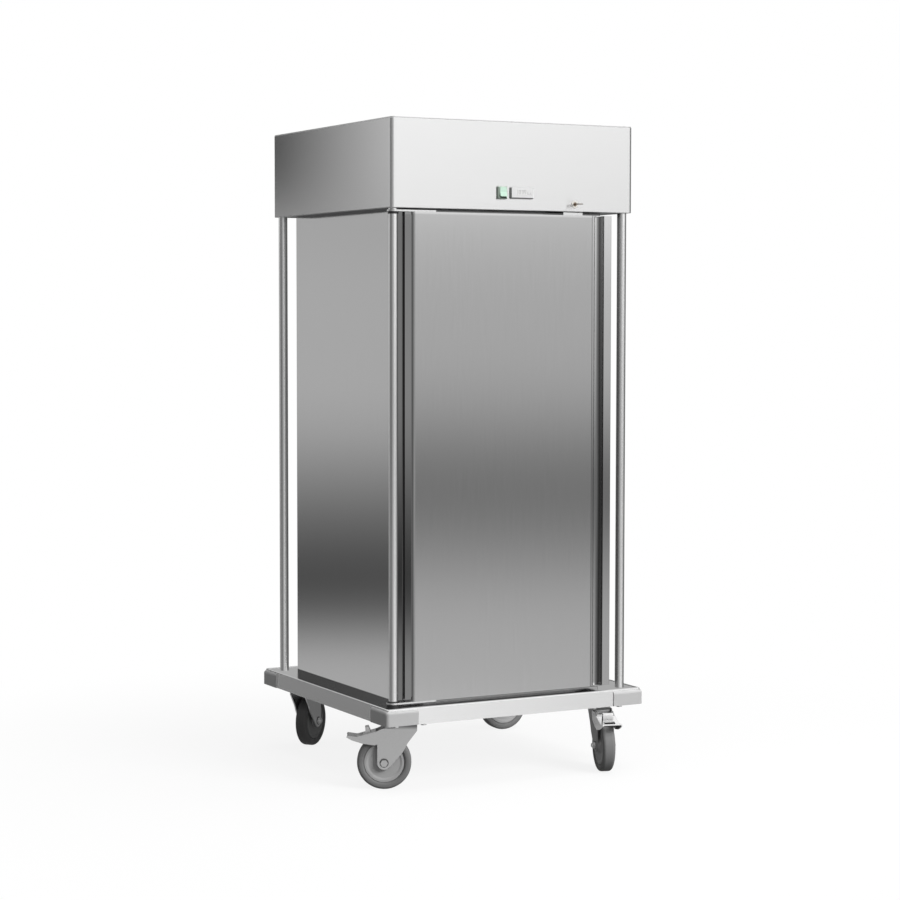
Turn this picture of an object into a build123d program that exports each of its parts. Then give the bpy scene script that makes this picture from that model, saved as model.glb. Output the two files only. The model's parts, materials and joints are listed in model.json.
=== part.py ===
from build123d import *
import math
import os

# A mobile banquet refrigerator: an insulated one-door cabinet on a wheeled base, with the
# cooling unit in a sheet-metal header on top. Millimetres. The origin is on the floor under
# the middle of the cart, X points to the right, Y to the back and Z up.

# Overall envelope
overall_height = 1960
header_width = 817
header_depth = 838
header_height = 260
deck_top = 250

# Sheet metal and fits
skin = 1.5
liner_skin = 1.0
running_gap = 0.3
shaft_fit = 0.05
hole_clearance = 0.5

# Base: folded deck with a raised rim, channel frame under it, plastic corner bumpers
pan_margin_x = 24.5
pan_margin_y = 23
pan_skirt = 48
pan_sheet = 3
pan_corner = 8
pan_edge = 4
pan_rim_width = 6
pan_rim_height = 3
frame_gap = 0.5
frame_height = 44
frame_flange = 55
frame_sheet = 3
gusset_width = 140
gusset_depth = 125
cross_member_width = 40
cross_member_place = 130
bumper_proud = 6
bumper_leg = 105
bumper_drop = 47
bumper_top_drop = 2
bumper_round = 10
bumper_corner = 12

# Corner posts and the studs that hold them
post_diameter = 28
post_wall = 2
post_inset_x = 6.5
post_inset_y = 14
plug_length = 30
stud_diameter = 10
nut_across = 17
nut_height = 8

# Casters: place of the kingpins and the direction each wheel trails in, in degrees from +X
caster_inset_x = 95
caster_inset_y = 84
caster_headings = {"front_left": 153, "front_right": 252, "rear_left": 40, "rear_right": -3}
caster_plate_width = 122
caster_plate_depth = 110
caster_plate_thickness = 4
caster_hole_spacing_x = 92
caster_hole_spacing_y = 80
race_diameter = 72
race_height = 8
kingpin_diameter = 20
kingpin_head = 32
kingpin_head_height = 6
crown_thickness = 5
crown_back = 40
crown_front = 48
trail = 57
leg_sheet = 4
leg_gap = 0.5
leg_boss = 20
leg_heel_drop = 15
leg_knee = (-12, 52)
leg_shin = (2, 79)
leg_shoulder_drop = 28
wheel_diameter = 160
tyre_width = 38
tyre_shoulder = 9
hub_diameter = 117
hub_rim_width = 32
hub_rim_depth = 12
hub_web = 28
hub_boss_diameter = 38
hub_boss_length = 45
axle_diameter = 12
axle_head_across = 19
axle_head_height = 8
axle_tip = 4

# Brake pedal, in its caster's own plane: along the trail and up from the axle
pedal_sheet = 3
pedal_pivot = (-10, 88)
pedal_pivot_diameter = 8
pedal_cheek = ((-29, 102), (-29, 78), (5, 60), (29, 53), (64, 58), (95, 68), (111, 77),
               (108, 82), (79, 78), (22, 94), (5, 102))
pedal_tread = ((25, 93), (79, 78), (108, 82), (109, 79), (79, 75), (25, 90))
pedal_window_place = 53
pedal_window_length = 18
pedal_window_width = 34
pedal_shoe = ((27, 91), (43, 87), (43, 76), (27, 83))
pedal_shoe_width = 30
pedal_tab = ((38, 87), (54, 83), (56, 104), (46, 106))
pedal_tab_width = 32

# Cabinet
hand_gap = 36.5
back_setback = 16
cabinet_edge = 3
wall = 50
side_wall = 47.5
rack_bar_thickness = 6
rack_bar_width = 25
rack_bar_spacing = 250
rack_foot = 20
runner_levels = 8
runner_first = 60
runner_pitch = 145
runner_end_gap = 41
runner_ledge = 22
runner_web = 12
runner_sheet = 2

# Evaporator under the cabinet ceiling
evaporator_height = 125
evaporator_margin = 19
evaporator_back_gap = 12
evaporator_depth = 400
evaporator_sheet = 1.2
evaporator_fan_place = 280
evaporator_fan_diameter = 150
coil_side_gap = 50
coil_depth = 140
coil_height = 80
coil_back = 10
coil_plate = 2
coil_fins = 24
coil_fin = 1.5
coil_tube_diameter = 10
coil_stub = 6
liquid_port_inset = 9
suction_port_inset = 49
pipe_drop_inset = 20

# Door, hung on the front left post
door_setback = 4
door_thickness = 49
door_sheet = 1.2
door_edge = 12
door_small_edge = 1.5
door_top_gap = 10
gasket_thickness = 16
gasket_width = 22
gasket_inset = 6
liner_inset = 4
emboss_inset = 44
emboss_height = 12
emboss_edge = 5
grip_width = 68
grip_wall = 2
grip_end = 3
channel_radius = 18
channel_sink = 5
channel_from_edge = 44
bush_height = 9
bush_diameter = 41
top_bush_height = 7
top_bush_diameter = 31
top_plate_diameter = 37
hinge_plate_thickness = 5
hinge_plate_reach = 80

# Header: bends, flanges, floor, cover and grille
header_bend = 12
header_edge = 2
floor_flange = 9
cover_flange = 15
floor_sheet = 2
cover_sheet = 2
cover_inset = 1.5
grille_slot = 66
grille_slot_height = 6
grille_pitch_x = 80
grille_pitch_z = 14
grille_columns = 4
grille_rows = 13

# Controls on the header front, with the height of their middle above the header's lower edge
controls_height = 50.5
controller_place = 20.8
controller_width = 74
controller_height = 33
controller_proud = 8
controller_lip = 3.5
controller_edge = 1
controller_body_width = 70
controller_body_height = 28
controller_body_depth = 60
key_places = (20, 28.5)
key_width = 6
key_height = 8
key_depth = 3
key_proud = 0.8
key_well = 4
switch_place = -45.3
switch_width = 30.4
switch_height = 37
switch_proud = 8
switch_edge = 1.6
switch_body_width = 27.5
switch_body_height = 33.5
switch_body_depth = 34
rocker_width = 22
rocker_height = 27
rocker_gap = 0.6
rocker_swing_gap = 1.7
rocker_front = 17
rocker_dip = 1.5
rocker_back = 3
rocker_pivot_depth = 5
rocker_pin_diameter = 3
rocker_pin_length = 1.6
rocker_tilt = 8
lock_from_edge = 132.5
lock_height = 22
lock_barrel_diameter = 18
lock_flange_diameter = 23
lock_flange_height = 2
lock_barrel_depth = 14
lock_plug_diameter = 12
cam_length = 29
cam_width = 12
cam_thickness = 3
cam_slot_gap = 2
key_shaft_length = 16
key_shaft_width = 7
key_bow_diameter = 22
key_blade_thickness = 2.2
strike_width = 67
strike_height = 8
strike_depth = 27
strike_sheet = 1.5
strike_setback = 6

# Cooling unit inside the header
condenser_width = 320
condenser_depth = 60
condenser_height = 205
condenser_back_gap = 38
condenser_plate = 2
condenser_fins = 20
condenser_fin = 1.5
condenser_tube_diameter = 10
condenser_stub = 10
condenser_fan_diameter = 190
condenser_fan_gap = 12
fan_hub_diameter = 48
fan_hub_depth = 26
fan_blades = 5
fan_blade_chord = 42
fan_blade_sheet = 2
fan_blade_pitch = 32
fan_shaft_diameter = 8
fan_shaft_gap = 14
motor_diameter = 64
motor_length = 58
motor_bracket_width = 70
motor_bracket_sheet = 3
motor_foot = 8
compressor_from_drop = 70
compressor_from_suction = 130
compressor_to_condenser = 330
compressor_diameter = 164
compressor_height = 180
compressor_round = 38
compressor_foot = 12
compressor_base_width = 190
compressor_base_sheet = 4
compressor_foot_diameter = 28
compressor_port = 90
compressor_stub = 8
pipe_diameter = 8
suction_diameter = 10
pipe_bend = 12
pipe_hole_gap = 4
discharge_rise_gap = 30
drier_diameter = 22
drier_length = 90
electrical_box_size = (200, 100, 95)
electrical_box_place = 10
electrical_box_gap = 29
inlet_from_side = 108.5
inlet_height = 50
inlet_flange_width = 50
inlet_flange_height = 26
inlet_flange_proud = 2.5
inlet_body_width = 28
inlet_body_height = 20
inlet_body_depth = 28
inlet_wall = 2
inlet_pin_spacing = 7

# Places that follow from the driving dimensions
header_bottom = overall_height - header_height
header_front = -header_depth / 2
header_back = header_depth / 2
floor_bottom = header_bottom + skin
floor_top = floor_bottom + floor_sheet
cover_bottom = overall_height - cover_sheet
pan_width = header_width + 2 * pan_margin_x
pan_depth = header_depth + 2 * pan_margin_y
post_radius = post_diameter / 2
post_x = header_width / 2 - post_inset_x - post_radius
post_y = header_depth / 2 - post_inset_y - post_radius
caster_x = pan_width / 2 - caster_inset_x
caster_y = pan_depth / 2 - caster_inset_y
caster_top = deck_top - pan_sheet - frame_height
cabinet_half = post_x - post_radius - hand_gap
cabinet_back = header_back - back_setback
cabinet_top = floor_bottom
door_front = header_front + door_setback
door_back = door_front + door_thickness
cabinet_front = door_back + gasket_thickness
cavity_half = cabinet_half - side_wall
cavity_back = cabinet_back - wall
cavity_floor = deck_top + wall
cavity_top = cabinet_top - wall
ceiling = cavity_top - liner_skin
wall_face = cavity_half - liner_skin
back_face = cavity_back - liner_skin
housing_half = wall_face - evaporator_margin
housing_back = back_face - evaporator_back_gap
coil_half = housing_half - coil_side_gap
coil_back_face = housing_back - evaporator_sheet - coil_back
liquid_pipe_place = coil_back_face - liquid_port_inset
suction_pipe_place = coil_back_face - suction_port_inset
pipe_drop_place = housing_half - pipe_drop_inset
compressor_x = pipe_drop_place - compressor_from_drop
compressor_y = suction_pipe_place - compressor_from_suction
condenser_place = compressor_x - compressor_to_condenser
inlet_place = header_width / 2 - inlet_from_side
lock_place = cabinet_half - lock_from_edge
plate_bottom = deck_top + running_gap + bush_height
door_bottom = plate_bottom + hinge_plate_thickness
door_top = header_bottom - door_top_gap
grip_left = cabinet_half - grip_width
controls_z = header_bottom + controls_height
lock_z = header_bottom + lock_height
leg_inner = hub_boss_length / 2 + leg_gap
leg_outer = leg_inner + leg_sheet
crown_top = caster_top - caster_plate_thickness - race_height - running_gap
wheel_radius = wheel_diameter / 2
post_places = [(sx * post_x, sy * post_y) for sx in (-1, 1) for sy in (-1, 1)]
hinge_place = (-post_x, -post_y)
caster_places = [(sx * caster_x, sy * caster_y) for sx in (-1, 1) for sy in (-1, 1)]
caster_bolt_places = [
    (x + sx * caster_hole_spacing_x / 2, y + sy * caster_hole_spacing_y / 2)
    for x, y in caster_places for sx in (-1, 1) for sy in (-1, 1)
]
pipe_holes = [
    (pipe_drop_place, liquid_pipe_place, pipe_diameter / 2 + pipe_hole_gap),
    (pipe_drop_place, suction_pipe_place, suction_diameter / 2 + pipe_hole_gap),
]

os.makedirs("parts", exist_ok=True)


def block(low, high, mode=Mode.ADD):
    """A box between two opposite corners, in the piece that is being made."""
    centre = tuple((a + b) / 2 for a, b in zip(low, high))
    with Locations(centre):
        Box(*[b - a for a, b in zip(low, high)], mode=mode)


def rod(places, radius, bottom, top, mode=Mode.ADD):
    """Upright cylinders at the given places, in the piece that is being made."""
    with Locations(*[(x, y, (bottom + top) / 2) for x, y in places]):
        Cylinder(radius, top - bottom, mode=mode)


def cut_pipe_holes(bottom, top):
    """Holes that let the refrigerant pipes through a level of the piece being made."""
    for x, y, radius in pipe_holes:
        rod([(x, y)], radius, bottom, top, mode=Mode.SUBTRACT)


# Base pan: deck with its four sides folded up into a low rim and down into a skirt
with BuildPart() as base_pan:
    with BuildSketch(Plane.XY.offset(deck_top - pan_skirt)):
        RectangleRounded(pan_width, pan_depth, pan_corner)
    extrude(amount=pan_skirt + pan_rim_height)
    fillet(base_pan.faces().sort_by(Axis.Z)[-1].edges(), pan_edge)
    block(
        (-pan_width / 2 + pan_rim_width, -pan_depth / 2 + pan_rim_width, deck_top),
        (pan_width / 2 - pan_rim_width, pan_depth / 2 - pan_rim_width, deck_top + pan_rim_height),
        Mode.SUBTRACT,
    )
    with BuildSketch(Plane.XY.offset(deck_top - pan_skirt)):
        RectangleRounded(pan_width - 2 * pan_sheet, pan_depth - 2 * pan_sheet, pan_corner - pan_sheet)
    extrude(amount=pan_skirt - pan_sheet, mode=Mode.SUBTRACT)
    rod(post_places, stud_diameter / 2 + hole_clearance, deck_top - pan_sheet, deck_top, Mode.SUBTRACT)
base_pan.part.label = "base_pan"
export_step(base_pan.part, "parts/base_pan.step")

# Base frame: a ring of channel, two cross members and a gusset over each caster
frame_width = pan_width - 2 * (pan_sheet + frame_gap)
frame_depth = pan_depth - 2 * (pan_sheet + frame_gap)
frame_top = deck_top - pan_sheet
with BuildPart() as base_frame:
    with BuildSketch(Plane.XY.offset(caster_top)):
        RectangleRounded(frame_width, frame_depth, pan_corner)
        Rectangle(frame_width - 2 * frame_flange, frame_depth - 2 * frame_flange, mode=Mode.SUBTRACT)
    extrude(amount=frame_height)
    block(
        (-frame_width / 2 + frame_sheet, -frame_depth / 2 + frame_sheet, caster_top + frame_sheet),
        (frame_width / 2 - frame_sheet, frame_depth / 2 - frame_sheet, frame_top - frame_sheet),
        Mode.SUBTRACT,
    )
    cross_half = frame_width / 2 - frame_flange + frame_sheet
    for y in (-cross_member_place, cross_member_place):
        block(
            (-cross_half, y - cross_member_width / 2, caster_top),
            (cross_half, y + cross_member_width / 2, frame_top),
        )
        block(
            (-cross_half, y - cross_member_width / 2 + frame_sheet, caster_top),
            (cross_half, y + cross_member_width / 2 - frame_sheet, frame_top - frame_sheet),
            Mode.SUBTRACT,
        )
    for x, y in caster_places:
        block(
            (x - gusset_width / 2, y - gusset_depth / 2, caster_top),
            (x + gusset_width / 2, y + gusset_depth / 2, caster_top + frame_sheet),
        )
    rod(caster_bolt_places, stud_diameter / 2 + hole_clearance, caster_top, caster_top + frame_sheet,
        Mode.SUBTRACT)
    rod(post_places, stud_diameter / 2 + hole_clearance, frame_top - frame_sheet, frame_top, Mode.SUBTRACT)
base_frame.part.label = "base_frame"
export_step(base_frame.part, "parts/base_frame.step")

# Corner bumpers: one moulded corner round the skirt of the deck, mirrored to all four
bumper_x = pan_width / 2 + bumper_proud
bumper_y = pan_depth / 2 + bumper_proud
with BuildPart() as corner_bumpers:
    block(
        (bumper_x - bumper_leg, bumper_y - bumper_leg, deck_top - bumper_drop),
        (bumper_x, bumper_y, deck_top - bumper_top_drop),
    )
    upright = corner_bumpers.edges().filter_by(Axis.Z).group_by(Axis.X)[-1].sort_by(Axis.Y)[-1]
    fillet(upright, bumper_corner)
    crest = corner_bumpers.faces().sort_by(Axis.Z)[-1]
    outer_crest = crest.edges().filter_by(
        lambda edge: (edge @ 0.5).X > bumper_x - bumper_corner or (edge @ 0.5).Y > bumper_y - bumper_corner
    )
    fillet(outer_crest, bumper_round)
    block((0, 0, 0), (pan_width / 2, pan_depth / 2, deck_top), Mode.SUBTRACT)
    mirror(about=Plane.YZ)
    mirror(about=Plane.XZ)
corner_bumpers.part.label = "corner_bumpers"
export_step(corner_bumpers.part, "parts/corner_bumpers.step")

# Posts: the front left one carries the door, the other three only join base and header
with BuildPart() as hinge_post:
    rod([hinge_place], post_radius, deck_top, header_bottom)
    rod([hinge_place], post_radius - post_wall, deck_top, header_bottom, Mode.SUBTRACT)
hinge_post.part.label = "hinge_post"
export_step(hinge_post.part, "parts/hinge_post.step")

plain_post_places = [place for place in post_places if place != hinge_place]
with BuildPart() as corner_posts:
    rod(plain_post_places, post_radius, deck_top, header_bottom)
    rod(plain_post_places, post_radius - post_wall, deck_top, header_bottom, Mode.SUBTRACT)
corner_posts.part.label = "corner_posts"
export_step(corner_posts.part, "parts/corner_posts.step")

# Post studs: a plug in each end of each post, with a threaded stud and its nut
deck_nut_top = frame_top - frame_sheet
with BuildPart() as post_studs:
    rod(post_places, post_radius - post_wall, deck_top, deck_top + plug_length)
    rod(post_places, post_radius - post_wall, header_bottom - plug_length, header_bottom)
    rod(post_places, stud_diameter / 2, deck_nut_top - nut_height, deck_top)
    rod(post_places, stud_diameter / 2, header_bottom, floor_top + nut_height)
    for level in (deck_nut_top - nut_height, floor_top):
        with BuildSketch(Plane.XY.offset(level)):
            with Locations(*post_places):
                RegularPolygon(nut_across / 2, 6, major_radius=False)
        extrude(amount=nut_height)
post_studs.part.label = "post_studs"
export_step(post_studs.part, "parts/post_studs.step")

# Caster plates with ball race and riveted kingpin
race_bottom = caster_top - caster_plate_thickness - race_height
head_top = crown_top - crown_thickness - running_gap
with BuildPart() as caster_plates:
    for x, y in caster_places:
        block(
            (x - caster_plate_width / 2, y - caster_plate_depth / 2, caster_top - caster_plate_thickness),
            (x + caster_plate_width / 2, y + caster_plate_depth / 2, caster_top),
        )
    rod(caster_places, race_diameter / 2, race_bottom, caster_top - caster_plate_thickness)
    rod(caster_places, kingpin_diameter / 2, head_top - kingpin_head_height, race_bottom)
    rod(caster_places, kingpin_head / 2, head_top - kingpin_head_height, head_top)
    rod(caster_bolt_places, stud_diameter / 2 + hole_clearance, caster_top - caster_plate_thickness,
        caster_top, Mode.SUBTRACT)
caster_plates.part.label = "caster_plates"
export_step(caster_plates.part, "parts/caster_plates.step")

# Caster bolts: head under the plate, nut over the gusset
plate_underside = caster_top - caster_plate_thickness
with BuildPart() as caster_bolts:
    rod(caster_bolt_places, stud_diameter / 2, plate_underside, caster_top + frame_sheet)
    for level in (plate_underside - nut_height, caster_top + frame_sheet):
        with BuildSketch(Plane.XY.offset(level)):
            with Locations(*caster_bolt_places):
                RegularPolygon(nut_across / 2, 6, major_radius=False)
        extrude(amount=nut_height)
caster_bolts.part.label = "caster_bolts"
export_step(caster_bolts.part, "parts/caster_bolts.step")


def caster_planes(place):
    """Side plane (trail, up) through the kingpin and section plane (across, radius) of a caster's wheel."""
    front, side = place.split("_")
    x = caster_x if side == "right" else -caster_x
    y = -caster_y if front == "front" else caster_y
    heading = math.radians(caster_headings[place])
    along = (math.cos(heading), math.sin(heading), 0)
    across = (math.sin(heading), -math.cos(heading), 0)
    axle = (x + trail * along[0], y + trail * along[1], wheel_radius)
    return Plane((x, y, 0), x_dir=along, z_dir=across), Plane(axle, x_dir=across, z_dir=along)


def make_fork(side, has_brake):
    """Pressed fork: a crown under the ball race and two legs that reach back to the axle."""
    reach_x = trail - leg_shin[0]
    reach_z = crown_top - leg_shin[1] - wheel_radius
    slope = math.atan2(-reach_z, reach_x) - math.asin(leg_boss / math.hypot(reach_x, reach_z))
    heel = (trail + leg_boss * math.sin(slope), wheel_radius - leg_boss * math.cos(slope))
    with BuildPart() as fork:
        for inner in (leg_inner, -leg_outer):
            with BuildSketch(side.offset(inner)):
                with BuildLine():
                    Polyline(
                        (-crown_back, crown_top),
                        (-crown_back, crown_top - leg_heel_drop),
                        (leg_knee[0], crown_top - leg_knee[1]),
                        (leg_shin[0], crown_top - leg_shin[1]),
                        heel,
                        (trail, wheel_radius),
                        (trail + leg_boss, wheel_radius),
                        (trail + leg_boss, crown_top - leg_shoulder_drop),
                        (crown_front, crown_top),
                        close=True,
                    )
                make_face()
                with Locations((trail, wheel_radius)):
                    Circle(leg_boss)
                    Circle(axle_diameter / 2 + shaft_fit, mode=Mode.SUBTRACT)
                if has_brake:
                    with Locations((trail + pedal_pivot[0], wheel_radius + pedal_pivot[1])):
                        Circle(pedal_pivot_diameter / 2 + shaft_fit, mode=Mode.SUBTRACT)
            extrude(amount=leg_sheet)
        with BuildSketch(side.offset(-leg_outer)):
            with Locations(((crown_front - crown_back) / 2, crown_top - crown_thickness / 2)):
                Rectangle(crown_front + crown_back, crown_thickness)
        extrude(amount=2 * leg_outer)
        rod([(side.origin.X, side.origin.Y)], kingpin_diameter / 2 + shaft_fit,
            crown_top - crown_thickness, crown_top, Mode.SUBTRACT)
    return fork


def make_axle(section):
    """Axle bolt with its hexagon head, nut and thread end."""
    length = 2 * leg_outer
    middle = Plane(section.origin, x_dir=section.z_dir, z_dir=section.x_dir)
    with BuildPart() as axle:
        with BuildSketch(middle.offset(-length / 2)):
            Circle(axle_diameter / 2)
        extrude(amount=length + axle_head_height + axle_tip)
        for start in (-length / 2 - axle_head_height, length / 2):
            with BuildSketch(middle.offset(start)):
                RegularPolygon(axle_head_across / 2, 6, major_radius=False)
            extrude(amount=axle_head_height)
    return axle


def make_hub(section):
    """Wheel core: long boss on the axle, dished web and rim."""
    boss = hub_boss_diameter / 2
    rim = hub_diameter / 2
    with BuildPart() as hub:
        with BuildSketch(section):
            with BuildLine():
                Polyline(
                    (-hub_boss_length / 2, axle_diameter / 2 + shaft_fit),
                    (-hub_boss_length / 2, boss),
                    (-hub_web / 2, boss + (hub_boss_length - hub_web) / 4),
                    (-hub_web / 2, rim - hub_rim_depth),
                    (-hub_rim_width / 2, rim - hub_rim_depth / 2),
                    (-hub_rim_width / 2, rim),
                    (hub_rim_width / 2, rim),
                    (hub_rim_width / 2, rim - hub_rim_depth / 2),
                    (hub_web / 2, rim - hub_rim_depth),
                    (hub_web / 2, boss + (hub_boss_length - hub_web) / 4),
                    (hub_boss_length / 2, boss),
                    (hub_boss_length / 2, axle_diameter / 2 + shaft_fit),
                    close=True,
                )
            make_face()
        revolve(axis=Axis(section.origin, section.x_dir))
    return hub


def make_tyre(section):
    """Rubber tyre with rounded shoulders."""
    with BuildPart() as tyre:
        with BuildSketch(section):
            with Locations((0, (wheel_radius + hub_diameter / 2) / 2)):
                band = Rectangle(tyre_width, wheel_radius - hub_diameter / 2)
            fillet(band.vertices().group_by(Axis.Z)[0], tyre_shoulder)
        revolve(axis=Axis(section.origin, section.x_dir))
    return tyre


def make_pedal(side):
    """Brake pedal: two cheeks outside the fork, a tread with its window, a shoe and a release tab."""
    foot = Plane(
        side.origin + side.x_dir * trail + side.y_dir * wheel_radius, x_dir=side.x_dir, z_dir=side.z_dir
    )
    cheek_inner = leg_outer + running_gap
    cheek_outer = cheek_inner + pedal_sheet
    with BuildPart() as pedal:
        for inner in (cheek_inner, -cheek_outer):
            with BuildSketch(foot.offset(inner)):
                with BuildLine():
                    Polyline(*pedal_cheek, close=True)
                make_face()
            extrude(amount=pedal_sheet)
        for outline, width in (
            (pedal_tread, 2 * cheek_outer),
            (pedal_shoe, pedal_shoe_width),
            (pedal_tab, pedal_tab_width),
        ):
            with BuildSketch(foot.offset(-width / 2)):
                with BuildLine():
                    Polyline(*outline, close=True)
                make_face()
            extrude(amount=width)
        with BuildSketch(foot.offset(-cheek_outer)):
            with Locations(pedal_pivot):
                Circle(pedal_pivot_diameter / 2)
        extrude(amount=2 * cheek_outer)
        with BuildSketch(foot.offset(-pedal_window_width / 2)):
            with Locations((pedal_window_place + pedal_window_length, pedal_pivot[1])):
                Rectangle(pedal_window_length, wheel_radius)
        extrude(amount=pedal_window_width, mode=Mode.SUBTRACT)
    return pedal


for place in caster_headings:
    side, section = caster_planes(place)
    braked = place.startswith("front")
    pieces = {
        "fork": make_fork(side, braked),
        "axle": make_axle(section),
        "hub": make_hub(section),
        "tyre": make_tyre(section),
    }
    if braked:
        pieces["brake_pedal"] = make_pedal(side)
    for piece_name, piece in pieces.items():
        piece.part.label = f"{piece_name}_{place}"
        export_step(piece.part, f"parts/{piece_name}_{place}.step")

# Cabinet shell: outer sheet with a front flange that frames the opening
with BuildPart() as cabinet_shell:
    block((-cabinet_half, cabinet_front, deck_top), (cabinet_half, cabinet_back, cabinet_top))
    fillet(cabinet_shell.edges().filter_by(Axis.Z), cabinet_edge)
    block(
        (-cabinet_half + skin, cabinet_front + skin, deck_top + skin),
        (cabinet_half - skin, cabinet_back - skin, cabinet_top - skin),
        Mode.SUBTRACT,
    )
    block(
        (-cavity_half, cabinet_front, cavity_floor),
        (cavity_half, cabinet_front + skin, cavity_top),
        Mode.SUBTRACT,
    )
    cut_pipe_holes(cabinet_top - skin, cabinet_top)
cabinet_shell.part.label = "cabinet_shell"
export_step(cabinet_shell.part, "parts/cabinet_shell.step")

# Cabinet insulation: foam in the walls, floor, back and ceiling
with BuildPart() as cabinet_insulation:
    block(
        (-cabinet_half + skin, cabinet_front + skin, deck_top + skin),
        (cabinet_half - skin, cabinet_back - skin, cabinet_top - skin),
    )
    block(
        (-cavity_half, cabinet_front + skin, cavity_floor),
        (cavity_half, cavity_back, cavity_top),
        Mode.SUBTRACT,
    )
    cut_pipe_holes(cavity_top, cabinet_top - skin)
cabinet_insulation.part.label = "cabinet_insulation"
export_step(cabinet_insulation.part, "parts/cabinet_insulation.step")

# Cabinet liner: inner sheet of the cold space
with BuildPart() as cabinet_liner:
    block((-cavity_half, cabinet_front, cavity_floor), (cavity_half, cavity_back, cavity_top))
    block(
        (-cavity_half + liner_skin, cabinet_front, cavity_floor + liner_skin),
        (cavity_half - liner_skin, cavity_back - liner_skin, cavity_top - liner_skin),
        Mode.SUBTRACT,
    )
    cut_pipe_holes(ceiling, cavity_top)
cabinet_liner.part.label = "cabinet_liner"
export_step(cabinet_liner.part, "parts/cabinet_liner.step")

# Tray rack: upright bars on both side walls and angle runners that carry the trays
bar_face = wall_face - rack_bar_thickness
runner_front = cabinet_front + runner_end_gap
runner_back = back_face - runner_end_gap
rack_middle = (runner_front + runner_back) / 2
rack_top = ceiling - evaporator_height - rack_foot
with BuildPart() as rack_bars:
    for y in (rack_middle - rack_bar_spacing, rack_middle, rack_middle + rack_bar_spacing):
        block(
            (bar_face, y - rack_bar_width / 2, cavity_floor + liner_skin),
            (wall_face, y + rack_bar_width / 2, rack_top),
        )
    mirror(about=Plane.YZ)

with BuildPart() as rack_runners:
    for level in range(runner_levels):
        ledge = cavity_floor + runner_first + level * runner_pitch
        block((bar_face - runner_ledge, runner_front, ledge - runner_sheet), (bar_face, runner_back, ledge))
        block((bar_face - runner_sheet, runner_front, ledge - runner_web), (bar_face, runner_back, ledge))
    mirror(about=Plane.YZ)

tray_rack = Compound([*rack_bars.part.solids(), *rack_runners.part.solids()])
tray_rack.label = "tray_rack"
export_step(tray_rack, "parts/tray_rack.step")

# Evaporator housing: a tray under the ceiling with a fan grille and intake slots
housing_front = housing_back - evaporator_depth
housing_bottom = ceiling - evaporator_height
fan_place = (0, housing_back - evaporator_fan_place)
with BuildPart() as evaporator_housing:
    block((-housing_half, housing_front, housing_bottom), (housing_half, housing_back, ceiling))
    block(
        (-housing_half + evaporator_sheet, housing_front + evaporator_sheet, housing_bottom + evaporator_sheet),
        (housing_half - evaporator_sheet, housing_back - evaporator_sheet, ceiling),
        Mode.SUBTRACT,
    )
    with BuildSketch(Plane.XY.offset(housing_bottom)):
        with Locations(fan_place):
            with PolarLocations(evaporator_fan_diameter / 3, 18):
                SlotOverall(evaporator_fan_diameter / 4, evaporator_fan_diameter / 20)
        with Locations((0, coil_back_face - coil_depth / 2)):
            with GridLocations(2 * coil_half / 9, coil_depth / 5, 9, 4):
                SlotOverall(coil_half / 6, coil_depth / 14)
    extrude(amount=evaporator_sheet, mode=Mode.SUBTRACT)
evaporator_housing.part.label = "evaporator_housing"
export_step(evaporator_housing.part, "parts/evaporator_housing.step")


def make_coil(low, high, plate, fins, fin, tube_diameter, stub, tube_heights):
    """Finned coil between two end plates, with tubes that stick out on the right as stubs."""
    length = high[0] - low[0]
    depth_middle = (low[1] + high[1]) / 2
    with BuildPart() as coil:
        for index in range(fins):
            x = low[0] + plate + (length - 2 * plate - fin) * (index + 0.5) / fins
            block((x, low[1], low[2]), (x + fin, high[1], high[2]))
        for x in (low[0], high[0] - plate):
            block((x, low[1], low[2]), (x + plate, high[1], high[2]))
        for y, z in tube_heights:
            with Locations(Location(((low[0] + high[0] + stub) / 2, y, z), (0, 90, 0))):
                Cylinder(tube_diameter / 2, length + stub)
        bar = tube_diameter / 2
        for z in (low[2], high[2] - plate):
            block((low[0], depth_middle - bar, z), (high[0], depth_middle + bar, z + plate))
    return coil


coil_port_z = ceiling - coil_height / 2
evaporator_coil = make_coil(
    (-coil_half, coil_back_face - coil_depth, ceiling - coil_height),
    (coil_half, coil_back_face, ceiling),
    coil_plate, coil_fins, coil_fin, coil_tube_diameter, coil_stub,
    [(liquid_pipe_place, coil_port_z), (suction_pipe_place, coil_port_z)],
)
evaporator_coil.part.label = "evaporator_coil"
export_step(evaporator_coil.part, "parts/evaporator_coil.step")


def make_fan(plane, diameter):
    """Axial fan with pitched blades round a bored hub, centred on the plane."""
    hub_radius = fan_hub_diameter / 2
    blade = (diameter - fan_hub_diameter) / 2 + fan_blade_sheet
    with BuildPart(plane) as fan:
        Cylinder(hub_radius, fan_hub_depth)
        with PolarLocations(diameter / 2 - blade / 2, fan_blades):
            Box(blade, fan_blade_chord, fan_blade_sheet, rotation=(fan_blade_pitch, 0, 0))
        Cylinder(fan_shaft_diameter / 2 + shaft_fit, fan_hub_depth, mode=Mode.SUBTRACT)
    return fan


# Evaporator fan and its motor, which hangs from the ceiling with the shaft pointing down
fan_level = ceiling - motor_foot - motor_length - fan_shaft_gap - fan_hub_depth / 2
evaporator_fan = make_fan(Plane((*fan_place, fan_level)), evaporator_fan_diameter)
evaporator_fan.part.label = "evaporator_fan"
export_step(evaporator_fan.part, "parts/evaporator_fan.step")

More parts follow.
